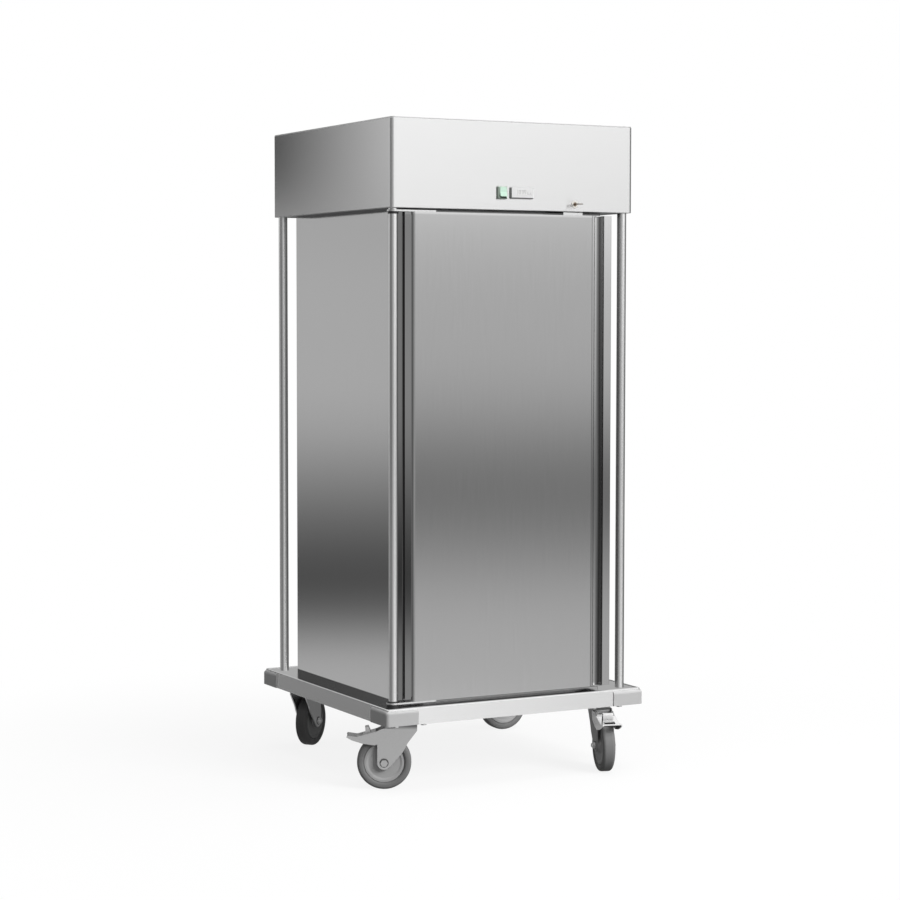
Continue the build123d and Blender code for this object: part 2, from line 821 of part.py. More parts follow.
with BuildPart() as evaporator_fan_motor:
    block(
        (fan_place[0] - motor_bracket_width / 2, fan_place[1] - motor_bracket_width / 2, ceiling - motor_foot),
        (fan_place[0] + motor_bracket_width / 2, fan_place[1] + motor_bracket_width / 2, ceiling),
    )
    rod([fan_place], motor_diameter / 2, ceiling - motor_foot - motor_length, ceiling - motor_foot)
    rod([fan_place], fan_shaft_diameter / 2, fan_level - fan_hub_depth / 2, ceiling - motor_foot - motor_length)
evaporator_fan_motor.part.label = "evaporator_fan_motor"
export_step(evaporator_fan_motor.part, "parts/evaporator_fan_motor.step")

# Header shell: one band of sheet bent round four corners, with a flange at both edges
shell_height = cover_bottom - header_bottom
grille_place = (condenser_place, header_back, floor_top + condenser_height / 2)
with BuildPart() as header_shell:
    with BuildSketch(Plane.XY.offset(header_bottom)):
        RectangleRounded(header_width, header_depth, header_bend)
    extrude(amount=shell_height)
    fillet(header_shell.faces().sort_by(Axis.Z)[-1].edges(), header_edge)
    fillet(header_shell.faces().sort_by(Axis.Z)[0].edges(), header_edge)
    with BuildSketch(Plane.XY.offset(floor_bottom)):
        RectangleRounded(header_width - 2 * skin, header_depth - 2 * skin, header_bend - skin)
    extrude(amount=shell_height - 2 * skin, mode=Mode.SUBTRACT)
    for level, flange in ((header_bottom, floor_flange), (cover_bottom - skin, cover_flange)):
        with BuildSketch(Plane.XY.offset(level)):
            Rectangle(header_width - 2 * flange, header_depth - 2 * flange)
        extrude(amount=skin, mode=Mode.SUBTRACT)
    for middle, width, height in (
        (controller_place, controller_body_width, controller_body_height),
        (switch_place, switch_body_width, switch_body_height),
    ):
        block(
            (middle - width / 2, header_front, controls_z - height / 2),
            (middle + width / 2, header_front + skin, controls_z + height / 2),
            Mode.SUBTRACT,
        )
    with Locations(Location((lock_place, header_front, lock_z), (90, 0, 0))):
        Cylinder(lock_barrel_diameter / 2 + running_gap, 3 * skin, mode=Mode.SUBTRACT)
    block(
        (inlet_place - inlet_body_width / 2, header_back - skin, floor_top + inlet_height - inlet_body_height / 2),
        (inlet_place + inlet_body_width / 2, header_back, floor_top + inlet_height + inlet_body_height / 2),
        Mode.SUBTRACT,
    )
    with BuildSketch(Plane(grille_place, x_dir=(-1, 0, 0), z_dir=(0, 1, 0))):
        with GridLocations(grille_pitch_x, grille_pitch_z, grille_columns, grille_rows):
            SlotOverall(grille_slot, grille_slot_height)
    extrude(amount=-skin, mode=Mode.SUBTRACT)
header_shell.part.label = "header_shell"
export_step(header_shell.part, "parts/header_shell.step")

# Header floor: plate on the lower flange that carries the cooling unit
cam_slot_half = cam_thickness / 2 + cam_slot_gap
cam_middle = header_front + lock_barrel_depth + cam_thickness / 2
with BuildPart() as header_floor:
    with BuildSketch(Plane.XY.offset(floor_bottom)):
        RectangleRounded(header_width - 2 * skin, header_depth - 2 * skin, header_bend - skin)
    extrude(amount=floor_sheet)
    rod(post_places, stud_diameter / 2 + hole_clearance, floor_bottom, floor_top, Mode.SUBTRACT)
    block(
        (lock_place - cam_width, cam_middle - cam_slot_half, floor_bottom),
        (lock_place + cam_length, cam_middle + cam_slot_half, floor_top),
        Mode.SUBTRACT,
    )
    cut_pipe_holes(floor_bottom, floor_top)
header_floor.part.label = "header_floor"
export_step(header_floor.part, "parts/header_floor.step")

# Header cover: lid on the upper flange, with exhaust slots over the cooling unit
with BuildPart() as header_cover:
    with BuildSketch(Plane.XY.offset(cover_bottom)):
        RectangleRounded(header_width - 2 * cover_inset, header_depth - 2 * cover_inset, header_bend - cover_inset)
        with Locations((condenser_place, header_back - condenser_back_gap - grille_pitch_z * grille_rows)):
            with GridLocations(grille_pitch_x, grille_pitch_z, grille_columns, grille_rows):
                SlotOverall(grille_slot, grille_slot_height, mode=Mode.SUBTRACT)
    extrude(amount=cover_sheet)
header_cover.part.label = "header_cover"
export_step(header_cover.part, "parts/header_cover.step")

# Compressor: welded dome on a base plate with four feet, discharge stub to the left, suction to the back
compressor_bottom = floor_top + compressor_foot
compressor_radius = compressor_diameter / 2
port_z = floor_top + compressor_port
foot_place = compressor_base_width / 2 - compressor_foot_diameter / 2
with BuildPart() as compressor:
    rod([(compressor_x, compressor_y)], compressor_radius, compressor_bottom, compressor_bottom + compressor_height)
    fillet(compressor.edges().group_by(Axis.Z)[-1], compressor_round)
    block(
        (compressor_x - compressor_base_width / 2, compressor_y - compressor_base_width / 2, compressor_bottom),
        (compressor_x + compressor_base_width / 2, compressor_y + compressor_base_width / 2,
         compressor_bottom + compressor_base_sheet),
    )
    rod(
        [(compressor_x + sx * foot_place, compressor_y + sy * foot_place) for sx in (-1, 1) for sy in (-1, 1)],
        compressor_foot_diameter / 2, floor_top, compressor_bottom,
    )
    port_reach = compressor_radius + compressor_stub
    with Locations(Location((compressor_x - port_reach / 2, compressor_y, port_z), (0, 90, 0))):
        Cylinder(pipe_diameter / 2, port_reach)
    with Locations(Location((compressor_x, compressor_y + port_reach / 2, port_z), (90, 0, 0))):
        Cylinder(suction_diameter / 2, port_reach)
compressor.part.label = "compressor"
export_step(compressor.part, "parts/compressor.step")

# Condenser: finned coil that stands on the header floor behind the rear grille
condenser_back = header_back - skin - condenser_back_gap
condenser_front = condenser_back - condenser_depth
condenser_middle = (condenser_front + condenser_back) / 2
condenser_right = condenser_place + condenser_width / 2
condenser_high = floor_top + condenser_height - 3 * condenser_tube_diameter
condenser_low = floor_top + 4 * condenser_tube_diameter
condenser = make_coil(
    (condenser_place - condenser_width / 2, condenser_front, floor_top),
    (condenser_right, condenser_back, floor_top + condenser_height),
    condenser_plate, condenser_fins, condenser_fin, condenser_tube_diameter, condenser_stub,
    [(condenser_middle, condenser_high), (condenser_middle, condenser_low)],
)
condenser.part.label = "condenser"
export_step(condenser.part, "parts/condenser.step")

# Condenser fan and its motor on a bracket, with the shaft pointing to the back
fan_axis_z = floor_top + condenser_height / 2
fan_y = condenser_front - condenser_fan_gap - fan_hub_depth / 2
motor_back = fan_y - fan_hub_depth / 2 - fan_shaft_gap
motor_front = motor_back - motor_length
condenser_fan = make_fan(
    Plane((condenser_place, fan_y, fan_axis_z), x_dir=(1, 0, 0), z_dir=(0, 1, 0)), condenser_fan_diameter
)
condenser_fan.part.label = "condenser_fan"
export_step(condenser_fan.part, "parts/condenser_fan.step")

with BuildPart() as condenser_fan_motor:
    with Locations(Location((condenser_place, (motor_front + motor_back) / 2, fan_axis_z), (90, 0, 0))):
        Cylinder(motor_diameter / 2, motor_length)
    shaft_end = fan_y + fan_hub_depth / 2
    with Locations(Location((condenser_place, (motor_back + shaft_end) / 2, fan_axis_z), (90, 0, 0))):
        Cylinder(fan_shaft_diameter / 2, shaft_end - motor_back)
    block(
        (condenser_place - motor_bracket_width / 2, motor_front - motor_bracket_sheet, floor_top),
        (condenser_place + motor_bracket_width / 2, motor_front, fan_axis_z + motor_bracket_width / 2),
    )
    block(
        (condenser_place - motor_bracket_width / 2, motor_front - motor_bracket_sheet, floor_top),
        (condenser_place + motor_bracket_width / 2, motor_back, floor_top + motor_bracket_sheet),
    )
condenser_fan_motor.part.label = "condenser_fan_motor"
export_step(condenser_fan_motor.part, "parts/condenser_fan_motor.step")

# Refrigerant pipes: discharge, liquid line with filter drier, and suction
coil_port_x = coil_half + coil_stub
condenser_port_x = condenser_right + condenser_stub
discharge_rise_place = condenser_port_x + discharge_rise_gap
suction_port_y = compressor_y + compressor_radius + compressor_stub
discharge_route = [
    (compressor_x - compressor_radius - compressor_stub, compressor_y, port_z),
    (discharge_rise_place, compressor_y, port_z),
    (discharge_rise_place, compressor_y, condenser_high),
    (discharge_rise_place, condenser_middle, condenser_high),
    (condenser_port_x, condenser_middle, condenser_high),
]
liquid_route = [
    (condenser_port_x, condenser_middle, condenser_low),
    (pipe_drop_place, condenser_middle, condenser_low),
    (pipe_drop_place, liquid_pipe_place, condenser_low),
    (pipe_drop_place, liquid_pipe_place, coil_port_z),
    (coil_port_x, liquid_pipe_place, coil_port_z),
]
suction_route = [
    (coil_port_x, suction_pipe_place, coil_port_z),
    (pipe_drop_place, suction_pipe_place, coil_port_z),
    (pipe_drop_place, suction_pipe_place, port_z),
    (compressor_x, suction_pipe_place, port_z),
    (compressor_x, suction_port_y, port_z),
]
with BuildPart() as refrigerant_pipes:
    for route, diameter in (
        (discharge_route, pipe_diameter),
        (liquid_route, pipe_diameter),
        (suction_route, suction_diameter),
    ):
        with BuildLine() as path:
            FilletPolyline(*route, radius=pipe_bend)
        with BuildSketch(Plane(path.line @ 0, z_dir=path.line % 0)) as bore:
            Circle(diameter / 2)
        sweep(sections=bore.sketch, path=path.line)
    drier_x = (condenser_port_x + pipe_drop_place) / 2
    with Locations(Location((drier_x, condenser_middle, condenser_low), (0, 90, 0))):
        Cylinder(drier_diameter / 2, drier_length)
refrigerant_pipes.part.label = "refrigerant_pipes"
export_step(refrigerant_pipes.part, "parts/refrigerant_pipes.step")

# Electrical box on the header floor, behind the controls
box_width, box_depth, box_height = electrical_box_size
box_front = header_front + controller_body_depth + electrical_box_gap
with BuildPart() as electrical_box:
    block(
        (electrical_box_place - box_width / 2, box_front, floor_top),
        (electrical_box_place + box_width / 2, box_front + box_depth, floor_top + box_height),
    )
    fillet(electrical_box.edges().filter_by(Axis.Z), pan_edge)
electrical_box.part.label = "electrical_box"
export_step(electrical_box.part, "parts/electrical_box.step")

# Mains inlet in the rear wall of the header: flange, socket well and three pins
inlet_z = floor_top + inlet_height
with BuildPart() as mains_inlet:
    block(
        (inlet_place - inlet_flange_width / 2, header_back, inlet_z - inlet_flange_height / 2),
        (inlet_place + inlet_flange_width / 2, header_back + inlet_flange_proud, inlet_z + inlet_flange_height / 2),
    )
    block(
        (inlet_place - inlet_body_width / 2, header_back - inlet_body_depth, inlet_z - inlet_body_height / 2),
        (inlet_place + inlet_body_width / 2, header_back, inlet_z + inlet_body_height / 2),
    )
    block(
        (inlet_place - inlet_body_width / 2 + inlet_wall, header_back - inlet_body_depth + inlet_wall,
         inlet_z - inlet_body_height / 2 + inlet_wall),
        (inlet_place + inlet_body_width / 2 - inlet_wall, header_back + inlet_flange_proud,
         inlet_z + inlet_body_height / 2 - inlet_wall),
        Mode.SUBTRACT,
    )
    for offset in (-inlet_pin_spacing, 0, inlet_pin_spacing):
        block(
            (inlet_place + offset - inlet_wall / 2, header_back - inlet_body_depth, inlet_z - inlet_wall),
            (inlet_place + offset + inlet_wall / 2, header_back - inlet_wall, inlet_z + inlet_wall),
        )
mains_inlet.part.label = "mains_inlet"
export_step(mains_inlet.part, "parts/mains_inlet.step")

# Controller: panel-mounted body with a sloped lower lip and two wells for its keys
bezel_front = header_front - controller_proud
bezel_bottom = controls_z - controller_height / 2
with BuildPart() as controller:
    with BuildSketch(Plane.YZ.offset(controller_place - controller_width / 2)):
        with BuildLine():
            Polyline(
                (header_front, bezel_bottom),
                (bezel_front + controller_lip, bezel_bottom),
                (bezel_front, bezel_bottom + controller_lip),
                (bezel_front, bezel_bottom + controller_height),
                (header_front, bezel_bottom + controller_height),
                close=True,
            )
        make_face()
    extrude(amount=controller_width)
    fillet(controller.edges().filter_by(Axis.Z).group_by(Axis.Y)[0], controller_edge)
    block(
        (controller_place - controller_body_width / 2, header_front, controls_z - controller_body_height / 2),
        (controller_place + controller_body_width / 2, header_front + controller_body_depth,
         controls_z + controller_body_height / 2),
    )
    for offset in key_places:
        block(
            (controller_place + offset - key_width / 2 - running_gap, bezel_front,
             controls_z - key_height / 2 - running_gap),
            (controller_place + offset + key_width / 2 + running_gap, bezel_front + key_well,
             controls_z + key_height / 2 + running_gap),
            Mode.SUBTRACT,
        )
controller.part.label = "controller"
export_step(controller.part, "parts/controller.step")

# Controller keys, one on each side of the same well spacing
for key_name, offset in zip(("key_down", "key_up"), key_places):
    with BuildPart() as controller_key:
        block(
            (controller_place + offset - key_width / 2, bezel_front - key_proud, controls_z - key_height / 2),
            (controller_place + offset + key_width / 2, bezel_front - key_proud + key_depth,
             controls_z + key_height / 2),
        )
        fillet(controller_key.faces().sort_by(Axis.Y)[0].edges(), key_proud / 2)
    controller_key.part.label = key_name
    export_step(controller_key.part, f"parts/{key_name}.step")

# Switch frame: bezel and body with the opening that the rocker turns in
opening_half_x = rocker_width / 2 + rocker_gap
opening_half_z = rocker_height / 2 + rocker_swing_gap
switch_front = header_front - switch_proud
switch_well = rocker_pivot_depth + rocker_back + rocker_swing_gap
with BuildPart() as switch_bezel:
    block(
        (switch_place - switch_width / 2, switch_front, controls_z - switch_height / 2),
        (switch_place + switch_width / 2, header_front, controls_z + switch_height / 2),
    )
    fillet(switch_bezel.edges().filter_by(Axis.Y), pan_edge / 2)
    chamfer(switch_bezel.faces().sort_by(Axis.Y)[0].edges(), switch_edge)
    block(
        (switch_place - switch_body_width / 2, header_front, controls_z - switch_body_height / 2),
        (switch_place + switch_body_width / 2, header_front + switch_body_depth,
         controls_z + switch_body_height / 2),
    )
    block(
        (switch_place - opening_half_x, switch_front, controls_z - opening_half_z),
        (switch_place + opening_half_x, switch_front + switch_proud + switch_well, controls_z + opening_half_z),
        Mode.SUBTRACT,
    )
    pin_half = rocker_width / 2 + rocker_pin_length
    with Locations(Location((switch_place, header_front + rocker_pivot_depth, controls_z), (0, 90, 0))):
        Cylinder(rocker_pin_diameter / 2 + shaft_fit, 2 * pin_half + running_gap, mode=Mode.SUBTRACT)
switch_bezel.part.label = "switch_bezel"
export_step(switch_bezel.part, "parts/switch_bezel.step")

# Rocker: dished cap on a pivot pin, tilted to its on position
tilt = math.radians(rocker_tilt)
rocker_plane = Plane(
    (switch_place, header_front + rocker_pivot_depth, controls_z),
    x_dir=(0, -math.cos(tilt), math.sin(tilt)), z_dir=(-1, 0, 0),
)
rocker_half = rocker_height / 2
with BuildPart() as rocker:
    with BuildSketch(rocker_plane.offset(-rocker_width / 2)):
        with BuildLine():
            Polyline(
                (-rocker_back, -rocker_half * 2 / 3),
                (rocker_front, -rocker_half),
                (rocker_front - rocker_dip, 0),
                (rocker_front, rocker_half),
                (-rocker_back, rocker_half * 2 / 3),
                close=True,
            )
        make_face()
    extrude(amount=rocker_width)
    with BuildSketch(rocker_plane.offset(-pin_half)):
        Circle(rocker_pin_diameter / 2)
    extrude(amount=2 * pin_half)
rocker.part.label = "rocker"
export_step(rocker.part, "parts/rocker.step")

# Lock barrel through the header front
lock_axis = Plane((lock_place, header_front, lock_z), x_dir=(1, 0, 0), z_dir=(0, 1, 0))
with BuildPart() as lock_barrel:
    with BuildSketch(lock_axis.offset(-lock_flange_height)):
        Circle(lock_flange_diameter / 2)
    extrude(amount=lock_flange_height)
    chamfer(lock_barrel.edges().sort_by(Axis.Y)[0], lock_flange_height / 2)
    with BuildSketch(lock_axis):
        Circle(lock_barrel_diameter / 2)
    extrude(amount=lock_barrel_depth - running_gap)
    with BuildSketch(lock_axis.offset(-lock_flange_height)):
        Circle(lock_plug_diameter / 2 + shaft_fit)
    extrude(amount=lock_flange_height + lock_barrel_depth, mode=Mode.SUBTRACT)
lock_barrel.part.label = "lock_barrel"
export_step(lock_barrel.part, "parts/lock_barrel.step")

# Lock cam: plug with a keyway, and the cam on its inner end
plug_front = -lock_flange_height
key_fit = running_gap
with BuildPart() as lock_cam:
    with BuildSketch(lock_axis.offset(plug_front)):
        Circle(lock_plug_diameter / 2)
        Rectangle(key_shaft_width + key_fit, key_blade_thickness + key_fit, mode=Mode.SUBTRACT)
    extrude(amount=lock_flange_height + lock_barrel_depth)
    with BuildSketch(lock_axis.offset(lock_barrel_depth)):
        with Locations((cam_length / 2 - cam_width / 4, 0)):
            Rectangle(cam_length + cam_width / 2, cam_width)
    extrude(amount=cam_thickness)
lock_cam.part.label = "lock_cam"
export_step(lock_cam.part, "parts/lock_cam.step")

# Key: blade in the plug and a round bow in front of it
bow_reach = key_shaft_length + key_bow_diameter * 2 / 5
with BuildPart() as lock_key:
    block(
        (lock_place - key_shaft_width / 2, header_front - lock_flange_height - key_shaft_length,
         lock_z - key_blade_thickness / 2),
        (lock_place + key_shaft_width / 2, header_front + lock_barrel_depth, lock_z + key_blade_thickness / 2),
    )
    with BuildSketch(Plane.XY.offset(lock_z - key_blade_thickness / 2)):
        with Locations((lock_place, header_front - lock_flange_height - bow_reach)):
            Circle(key_bow_diameter / 2)
        with Locations((lock_place, header_front - lock_flange_height - bow_reach - key_bow_diameter / 4)):
            Circle(key_bow_diameter / 8, mode=Mode.SUBTRACT)
    extrude(amount=key_blade_thickness)
lock_key.part.label = "lock_key"
export_step(lock_key.part, "parts/lock_key.step")

# Door skin: folded tray with a large bend on the hinge side
with BuildPart() as door_skin:
    block((-cabinet_half, door_front, door_bottom), (grip_left, door_back, door_top))
    front_edges = door_skin.faces().sort_by(Axis.Y)[0].edges()
    fillet(front_edges.filter_by(Axis.Z).sort_by(Axis.X)[0], door_edge)
    flat_front = door_skin.faces().sort_by(Axis.Y)[0]
    fillet(flat_front.edges().filter_by(Axis.Z).sort_by(Axis.X)[-1], door_small_edge)
    with BuildSketch(Plane.XY.offset(door_bottom + door_sheet)):
        with BuildLine():
            FilletPolyline(
                (-cabinet_half + door_sheet, door_back),
                (-cabinet_half + door_sheet, door_front + door_sheet),
                (grip_left - door_sheet, door_front + door_sheet),
                radius=door_edge - door_sheet,
            )
            Polyline(
                (grip_left - door_sheet, door_front + door_sheet),
                (grip_left - door_sheet, door_back),
                (-cabinet_half + door_sheet, door_back),
            )
        make_face()
    extrude(amount=door_top - door_bottom - 2 * door_sheet, mode=Mode.SUBTRACT)
door_skin.part.label = "door_skin"
export_step(door_skin.part, "parts/door_skin.step")

# Door insulation: foam that fills the tray and the embossed field of the inner sheet
liner_back = door_back + door_sheet
emboss_half = cabinet_half - emboss_inset
emboss_low = (-emboss_half + emboss_edge, door_back, door_bottom + emboss_inset + emboss_edge)
emboss_high = (emboss_half - emboss_edge, liner_back + emboss_height - door_sheet,
               door_top - emboss_inset - emboss_edge)
with BuildPart() as door_insulation:
    block(
        (-cabinet_half + door_sheet, door_front + door_sheet, door_bottom + door_sheet),
        (grip_left - door_sheet, door_back, door_top - door_sheet),
    )
    foam_front = door_insulation.faces().sort_by(Axis.Y)[0]
    fillet(foam_front.edges().filter_by(Axis.Z).sort_by(Axis.X)[0], door_edge - door_sheet)
    block(emboss_low, emboss_high)
door_insulation.part.label = "door_insulation"
export_step(door_insulation.part, "parts/door_insulation.step")

# Door liner: inner sheet with an embossed field inside the seal
with BuildPart() as door_liner:
    block(
        (-emboss_half, door_back, door_bottom + emboss_inset),
        (emboss_half, liner_back + emboss_height, door_top - emboss_inset),
    )
    fillet(door_liner.faces().sort_by(Axis.Y)[-1].edges(), emboss_edge)
    block(
        (-cabinet_half + liner_inset, door_back, door_bottom + liner_inset),
        (cabinet_half - liner_inset, liner_back, door_top - liner_inset),
    )
    block(emboss_low, emboss_high, Mode.SUBTRACT)
door_liner.part.label = "door_liner"
export_step(door_liner.part, "parts/door_liner.step")

# Door seal: rubber ring between the door liner and the cabinet front
gasket_half = cabinet_half - gasket_inset
gasket_low = door_bottom + gasket_inset
gasket_high = door_top - gasket_inset
with BuildPart() as door_gasket:
    block((-gasket_half, liner_back, gasket_low), (gasket_half, cabinet_front - running_gap, gasket_high))
    block(
        (-gasket_half + gasket_width, liner_back, gasket_low + gasket_width),
        (gasket_half - gasket_width, cabinet_front - running_gap, gasket_high - gasket_width),
        Mode.SUBTRACT,
    )
door_gasket.part.label = "door_gasket"
export_step(door_gasket.part, "parts/door_gasket.step")

# Door grip: hollow profile down the free edge, with a round finger channel closed at both ends
channel_place = (cabinet_half - channel_from_edge, door_front + channel_sink)
grip_middle = ((grip_left + cabinet_half) / 2, (door_front + door_back) / 2)
with BuildPart() as door_grip:
    with BuildSketch(Plane.XY.offset(door_bottom)) as outline:
        with Locations(grip_middle):
            Rectangle(grip_width, door_thickness)
        fillet(outline.vertices().group_by(Axis.Y)[0], door_small_edge)
    extrude(amount=door_top - door_bottom)
    with BuildSketch(Plane.XY.offset(door_bottom)):
        with Locations(grip_middle):
            Rectangle(grip_width - 2 * grip_wall, door_thickness - 2 * grip_wall)
        with Locations(channel_place):
            Circle(channel_radius + grip_wall, mode=Mode.SUBTRACT)
    extrude(amount=door_top - door_bottom, mode=Mode.SUBTRACT)
    with BuildSketch(Plane.XY.offset(door_bottom + grip_end)):
        with Locations(channel_place):
            Circle(channel_radius)
    extrude(amount=door_top - door_bottom - 2 * grip_end, mode=Mode.SUBTRACT)
door_grip.part.label = "door_grip"
export_step(door_grip.part, "parts/door_grip.step")

# Hinge plates: one under and one on top of the door, each bored for the front left post
plate_end = -cabinet_half + hinge_plate_reach
with BuildPart() as hinge_plates:
    for level, eye in ((plate_bottom, bush_diameter), (door_top, top_plate_diameter)):
        with BuildSketch(Plane.XY.offset(level)):
            with Locations(((hinge_place[0] + plate_end) / 2, hinge_place[1])):
                Rectangle(plate_end - hinge_place[0], eye - 2 * hole_clearance)
            with Locations(hinge_place):
                Circle(eye / 2)
                Circle(post_radius + shaft_fit, mode=Mode.SUBTRACT)
        extrude(amount=hinge_plate_thickness)
hinge_plates.part.label = "hinge_plates"
export_step(hinge_plates.part, "parts/hinge_plates.step")

# Hinge bushes: plastic rings round the post under each hinge plate
with BuildPart() as hinge_bushes:
    for top, height, ring in (
        (plate_bottom, bush_height, bush_diameter),
        (door_top, top_bush_height, top_bush_diameter),
    ):
        rod([hinge_place], ring / 2, top - height, top)
        rod([hinge_place], post_radius + shaft_fit, top - height, top, Mode.SUBTRACT)
hinge_bushes.part.label = "hinge_bushes"
export_step(hinge_bushes.part, "parts/hinge_bushes.step")

# Strike plate: angle on the top edge of the door that the cam drops behind
strike_front = door_front + strike_setback
with BuildPart() as strike_plate:
    block(
        (lock_place - strike_width / 2, strike_front, door_top),
        (lock_place + strike_width / 2, strike_front + strike_depth, door_top + strike_sheet),
    )
    block(
        (lock_place - strike_width / 2, strike_front, door_top),
        (lock_place + strike_width / 2, strike_front + strike_sheet, door_top + strike_height),
    )
strike_plate.part.label = "strike_plate"
export_step(strike_plate.part, "parts/strike_plate.step")
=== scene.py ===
# %% [markdown]
# # A banquet refrigerator on wheels
#
# A tall one-door cold cabinet for catering. It stands on a wheeled base, with the cooling unit in
# a sheet-metal header on top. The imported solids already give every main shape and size. This
# lesson dresses them: a finish for each sheet, tube and moulding, then the small pieces that a
# solid model leaves out, and last a studio and a camera.

# %% Load the frame
import json
import math

import bmesh
import bpy
from mathutils import Euler, Matrix, Vector

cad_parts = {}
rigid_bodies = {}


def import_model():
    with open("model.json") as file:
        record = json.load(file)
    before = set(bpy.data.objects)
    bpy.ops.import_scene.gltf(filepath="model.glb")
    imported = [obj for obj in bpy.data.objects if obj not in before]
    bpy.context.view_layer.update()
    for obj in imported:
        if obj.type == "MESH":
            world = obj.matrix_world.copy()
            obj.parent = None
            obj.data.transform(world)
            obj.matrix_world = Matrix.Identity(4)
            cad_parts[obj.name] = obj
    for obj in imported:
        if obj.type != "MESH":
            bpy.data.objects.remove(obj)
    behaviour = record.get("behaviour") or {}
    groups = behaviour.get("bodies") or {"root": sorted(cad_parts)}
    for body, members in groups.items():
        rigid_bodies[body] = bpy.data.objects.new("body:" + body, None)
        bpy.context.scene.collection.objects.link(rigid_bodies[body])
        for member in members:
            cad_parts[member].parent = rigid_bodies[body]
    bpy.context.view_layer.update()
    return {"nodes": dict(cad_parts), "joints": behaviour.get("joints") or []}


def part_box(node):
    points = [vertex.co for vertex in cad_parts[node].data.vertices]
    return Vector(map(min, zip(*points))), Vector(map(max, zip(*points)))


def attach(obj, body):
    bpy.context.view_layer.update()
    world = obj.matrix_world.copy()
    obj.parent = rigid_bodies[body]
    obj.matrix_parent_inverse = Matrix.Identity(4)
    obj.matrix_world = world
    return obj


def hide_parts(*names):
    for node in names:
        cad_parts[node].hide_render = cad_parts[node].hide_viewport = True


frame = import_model()
nodes = frame["nodes"]
# Sizes of pieces are written in millimetres, and those of the studio in metres.
MM = 0.001

# %% [markdown]
# Colours are given as sRGB hex, but shaders work in linear light, so one function
# converts them. A finish is a small tree of nodes, so one function adds a node, sets it up and
# links whatever feeds it. Every finish below is made with these.

# %% Helpers for finishes
def linear(hex_colour):
    """An sRGB hex colour as linear RGBA."""
    channels = [int(hex_colour[i:i + 2], 16) / 255 for i in (1, 3, 5)]
    return (*[c / 12.92 if c <= 0.04045 else ((c + 0.055) / 1.055) ** 2.4 for c in channels], 1.0)


def grey(value, share=1.0):
    """A neutral linear colour, or a linear colour times a share."""
    rgb = value[:3] if isinstance(value, tuple) else (value, value, value)
    return (*[channel * share for channel in rgb], 1.0)


def add(tree, kind, settings=None, inputs=None, stops=None):
    """A node with its settings, its sockets filled or linked, and its colour stops."""
    node = tree.nodes.new(kind)
    for name, value in (settings or {}).items():
        setattr(node, name, value)
    for socket, value in (inputs or {}).items():
        if isinstance(value, bpy.types.NodeSocket):
            tree.links.new(value, node.inputs[socket])
        else:
            node.inputs[socket].default_value = value
    if stops:
        ramp = node.color_ramp
        for element, (place, colour) in zip(ramp.elements, (stops[0], stops[-1])):
            element.position, element.color = place, colour
        for place, colour in stops[1:-1]:
            ramp.elements.new(place).color = colour
    return node


def new_finish(name):
    """An empty material, its node tree, its shader and the object coordinates."""
    finish = bpy.data.materials.new(name)
    finish.use_nodes = True
    tree = finish.node_tree
    shader = tree.nodes["Principled BSDF"]
    place = add(tree, "ShaderNodeTexCoord").outputs["Object"]
    return finish, tree, shader, place


def wear(node_names, finish):
    """Gives solids a finish."""
    for name in node_names:
        slots = nodes[name].data.materials
        slots.clear()
        slots.append(finish)
    print(finish.name, "on", len(node_names), "solids")


# %% [markdown]
# Brushed stainless steel covers most of the cart. A belt drags abrasive along the sheet and leaves
# hair-fine scratches that all run one way. They smear a reflection across the grain and keep it
# sharp along the grain, which an anisotropic shader gives. The streaks are noise stretched along
# the grain, and they vary the tone and the roughness by a few percent. Real scratches are too fine
# to show from here, so the streaks are drawn about a millimetre wide.
#
# Painted shade darkens two places beside a gap: the front strip of the cabinet behind the door
# seal and the return of the door. Each is a band of painted shade across one axis of the sheet.

# %% Brushed steel
STREAK_WIDTH = 1.2
DARK_STREAK = 0.965
ROUGHNESS_SPREAD = 0.04


def shaded(tree, place, colour, shades):
    """A colour times bands, mostly of painted shade and painted highlight. A band has an axis, an
    edge on that axis in mm, and the share of light at two or more distances from the edge."""
    for axis, edge, stops in shades:
        start, end = edge + stops[0][0], edge + stops[-1][0]
        along = add(tree, "ShaderNodeSeparateXYZ", None, {0: place}).outputs[axis]
        reach = add(tree, "ShaderNodeMapRange", None,
                    {"Value": along, "From Min": start * MM, "From Max": end * MM})
        band = add(tree, "ShaderNodeValToRGB", None, {"Fac": reach.outputs[0]},
                   [((edge + away - start) / (end - start), grey(share)) for away, share in stops])
        colour = add(tree, "ShaderNodeMix", {"data_type": "RGBA", "blend_type": "MULTIPLY"},
                     {0: 1.0, 6: colour, 7: band.outputs["Color"]}).outputs[2]
    return colour


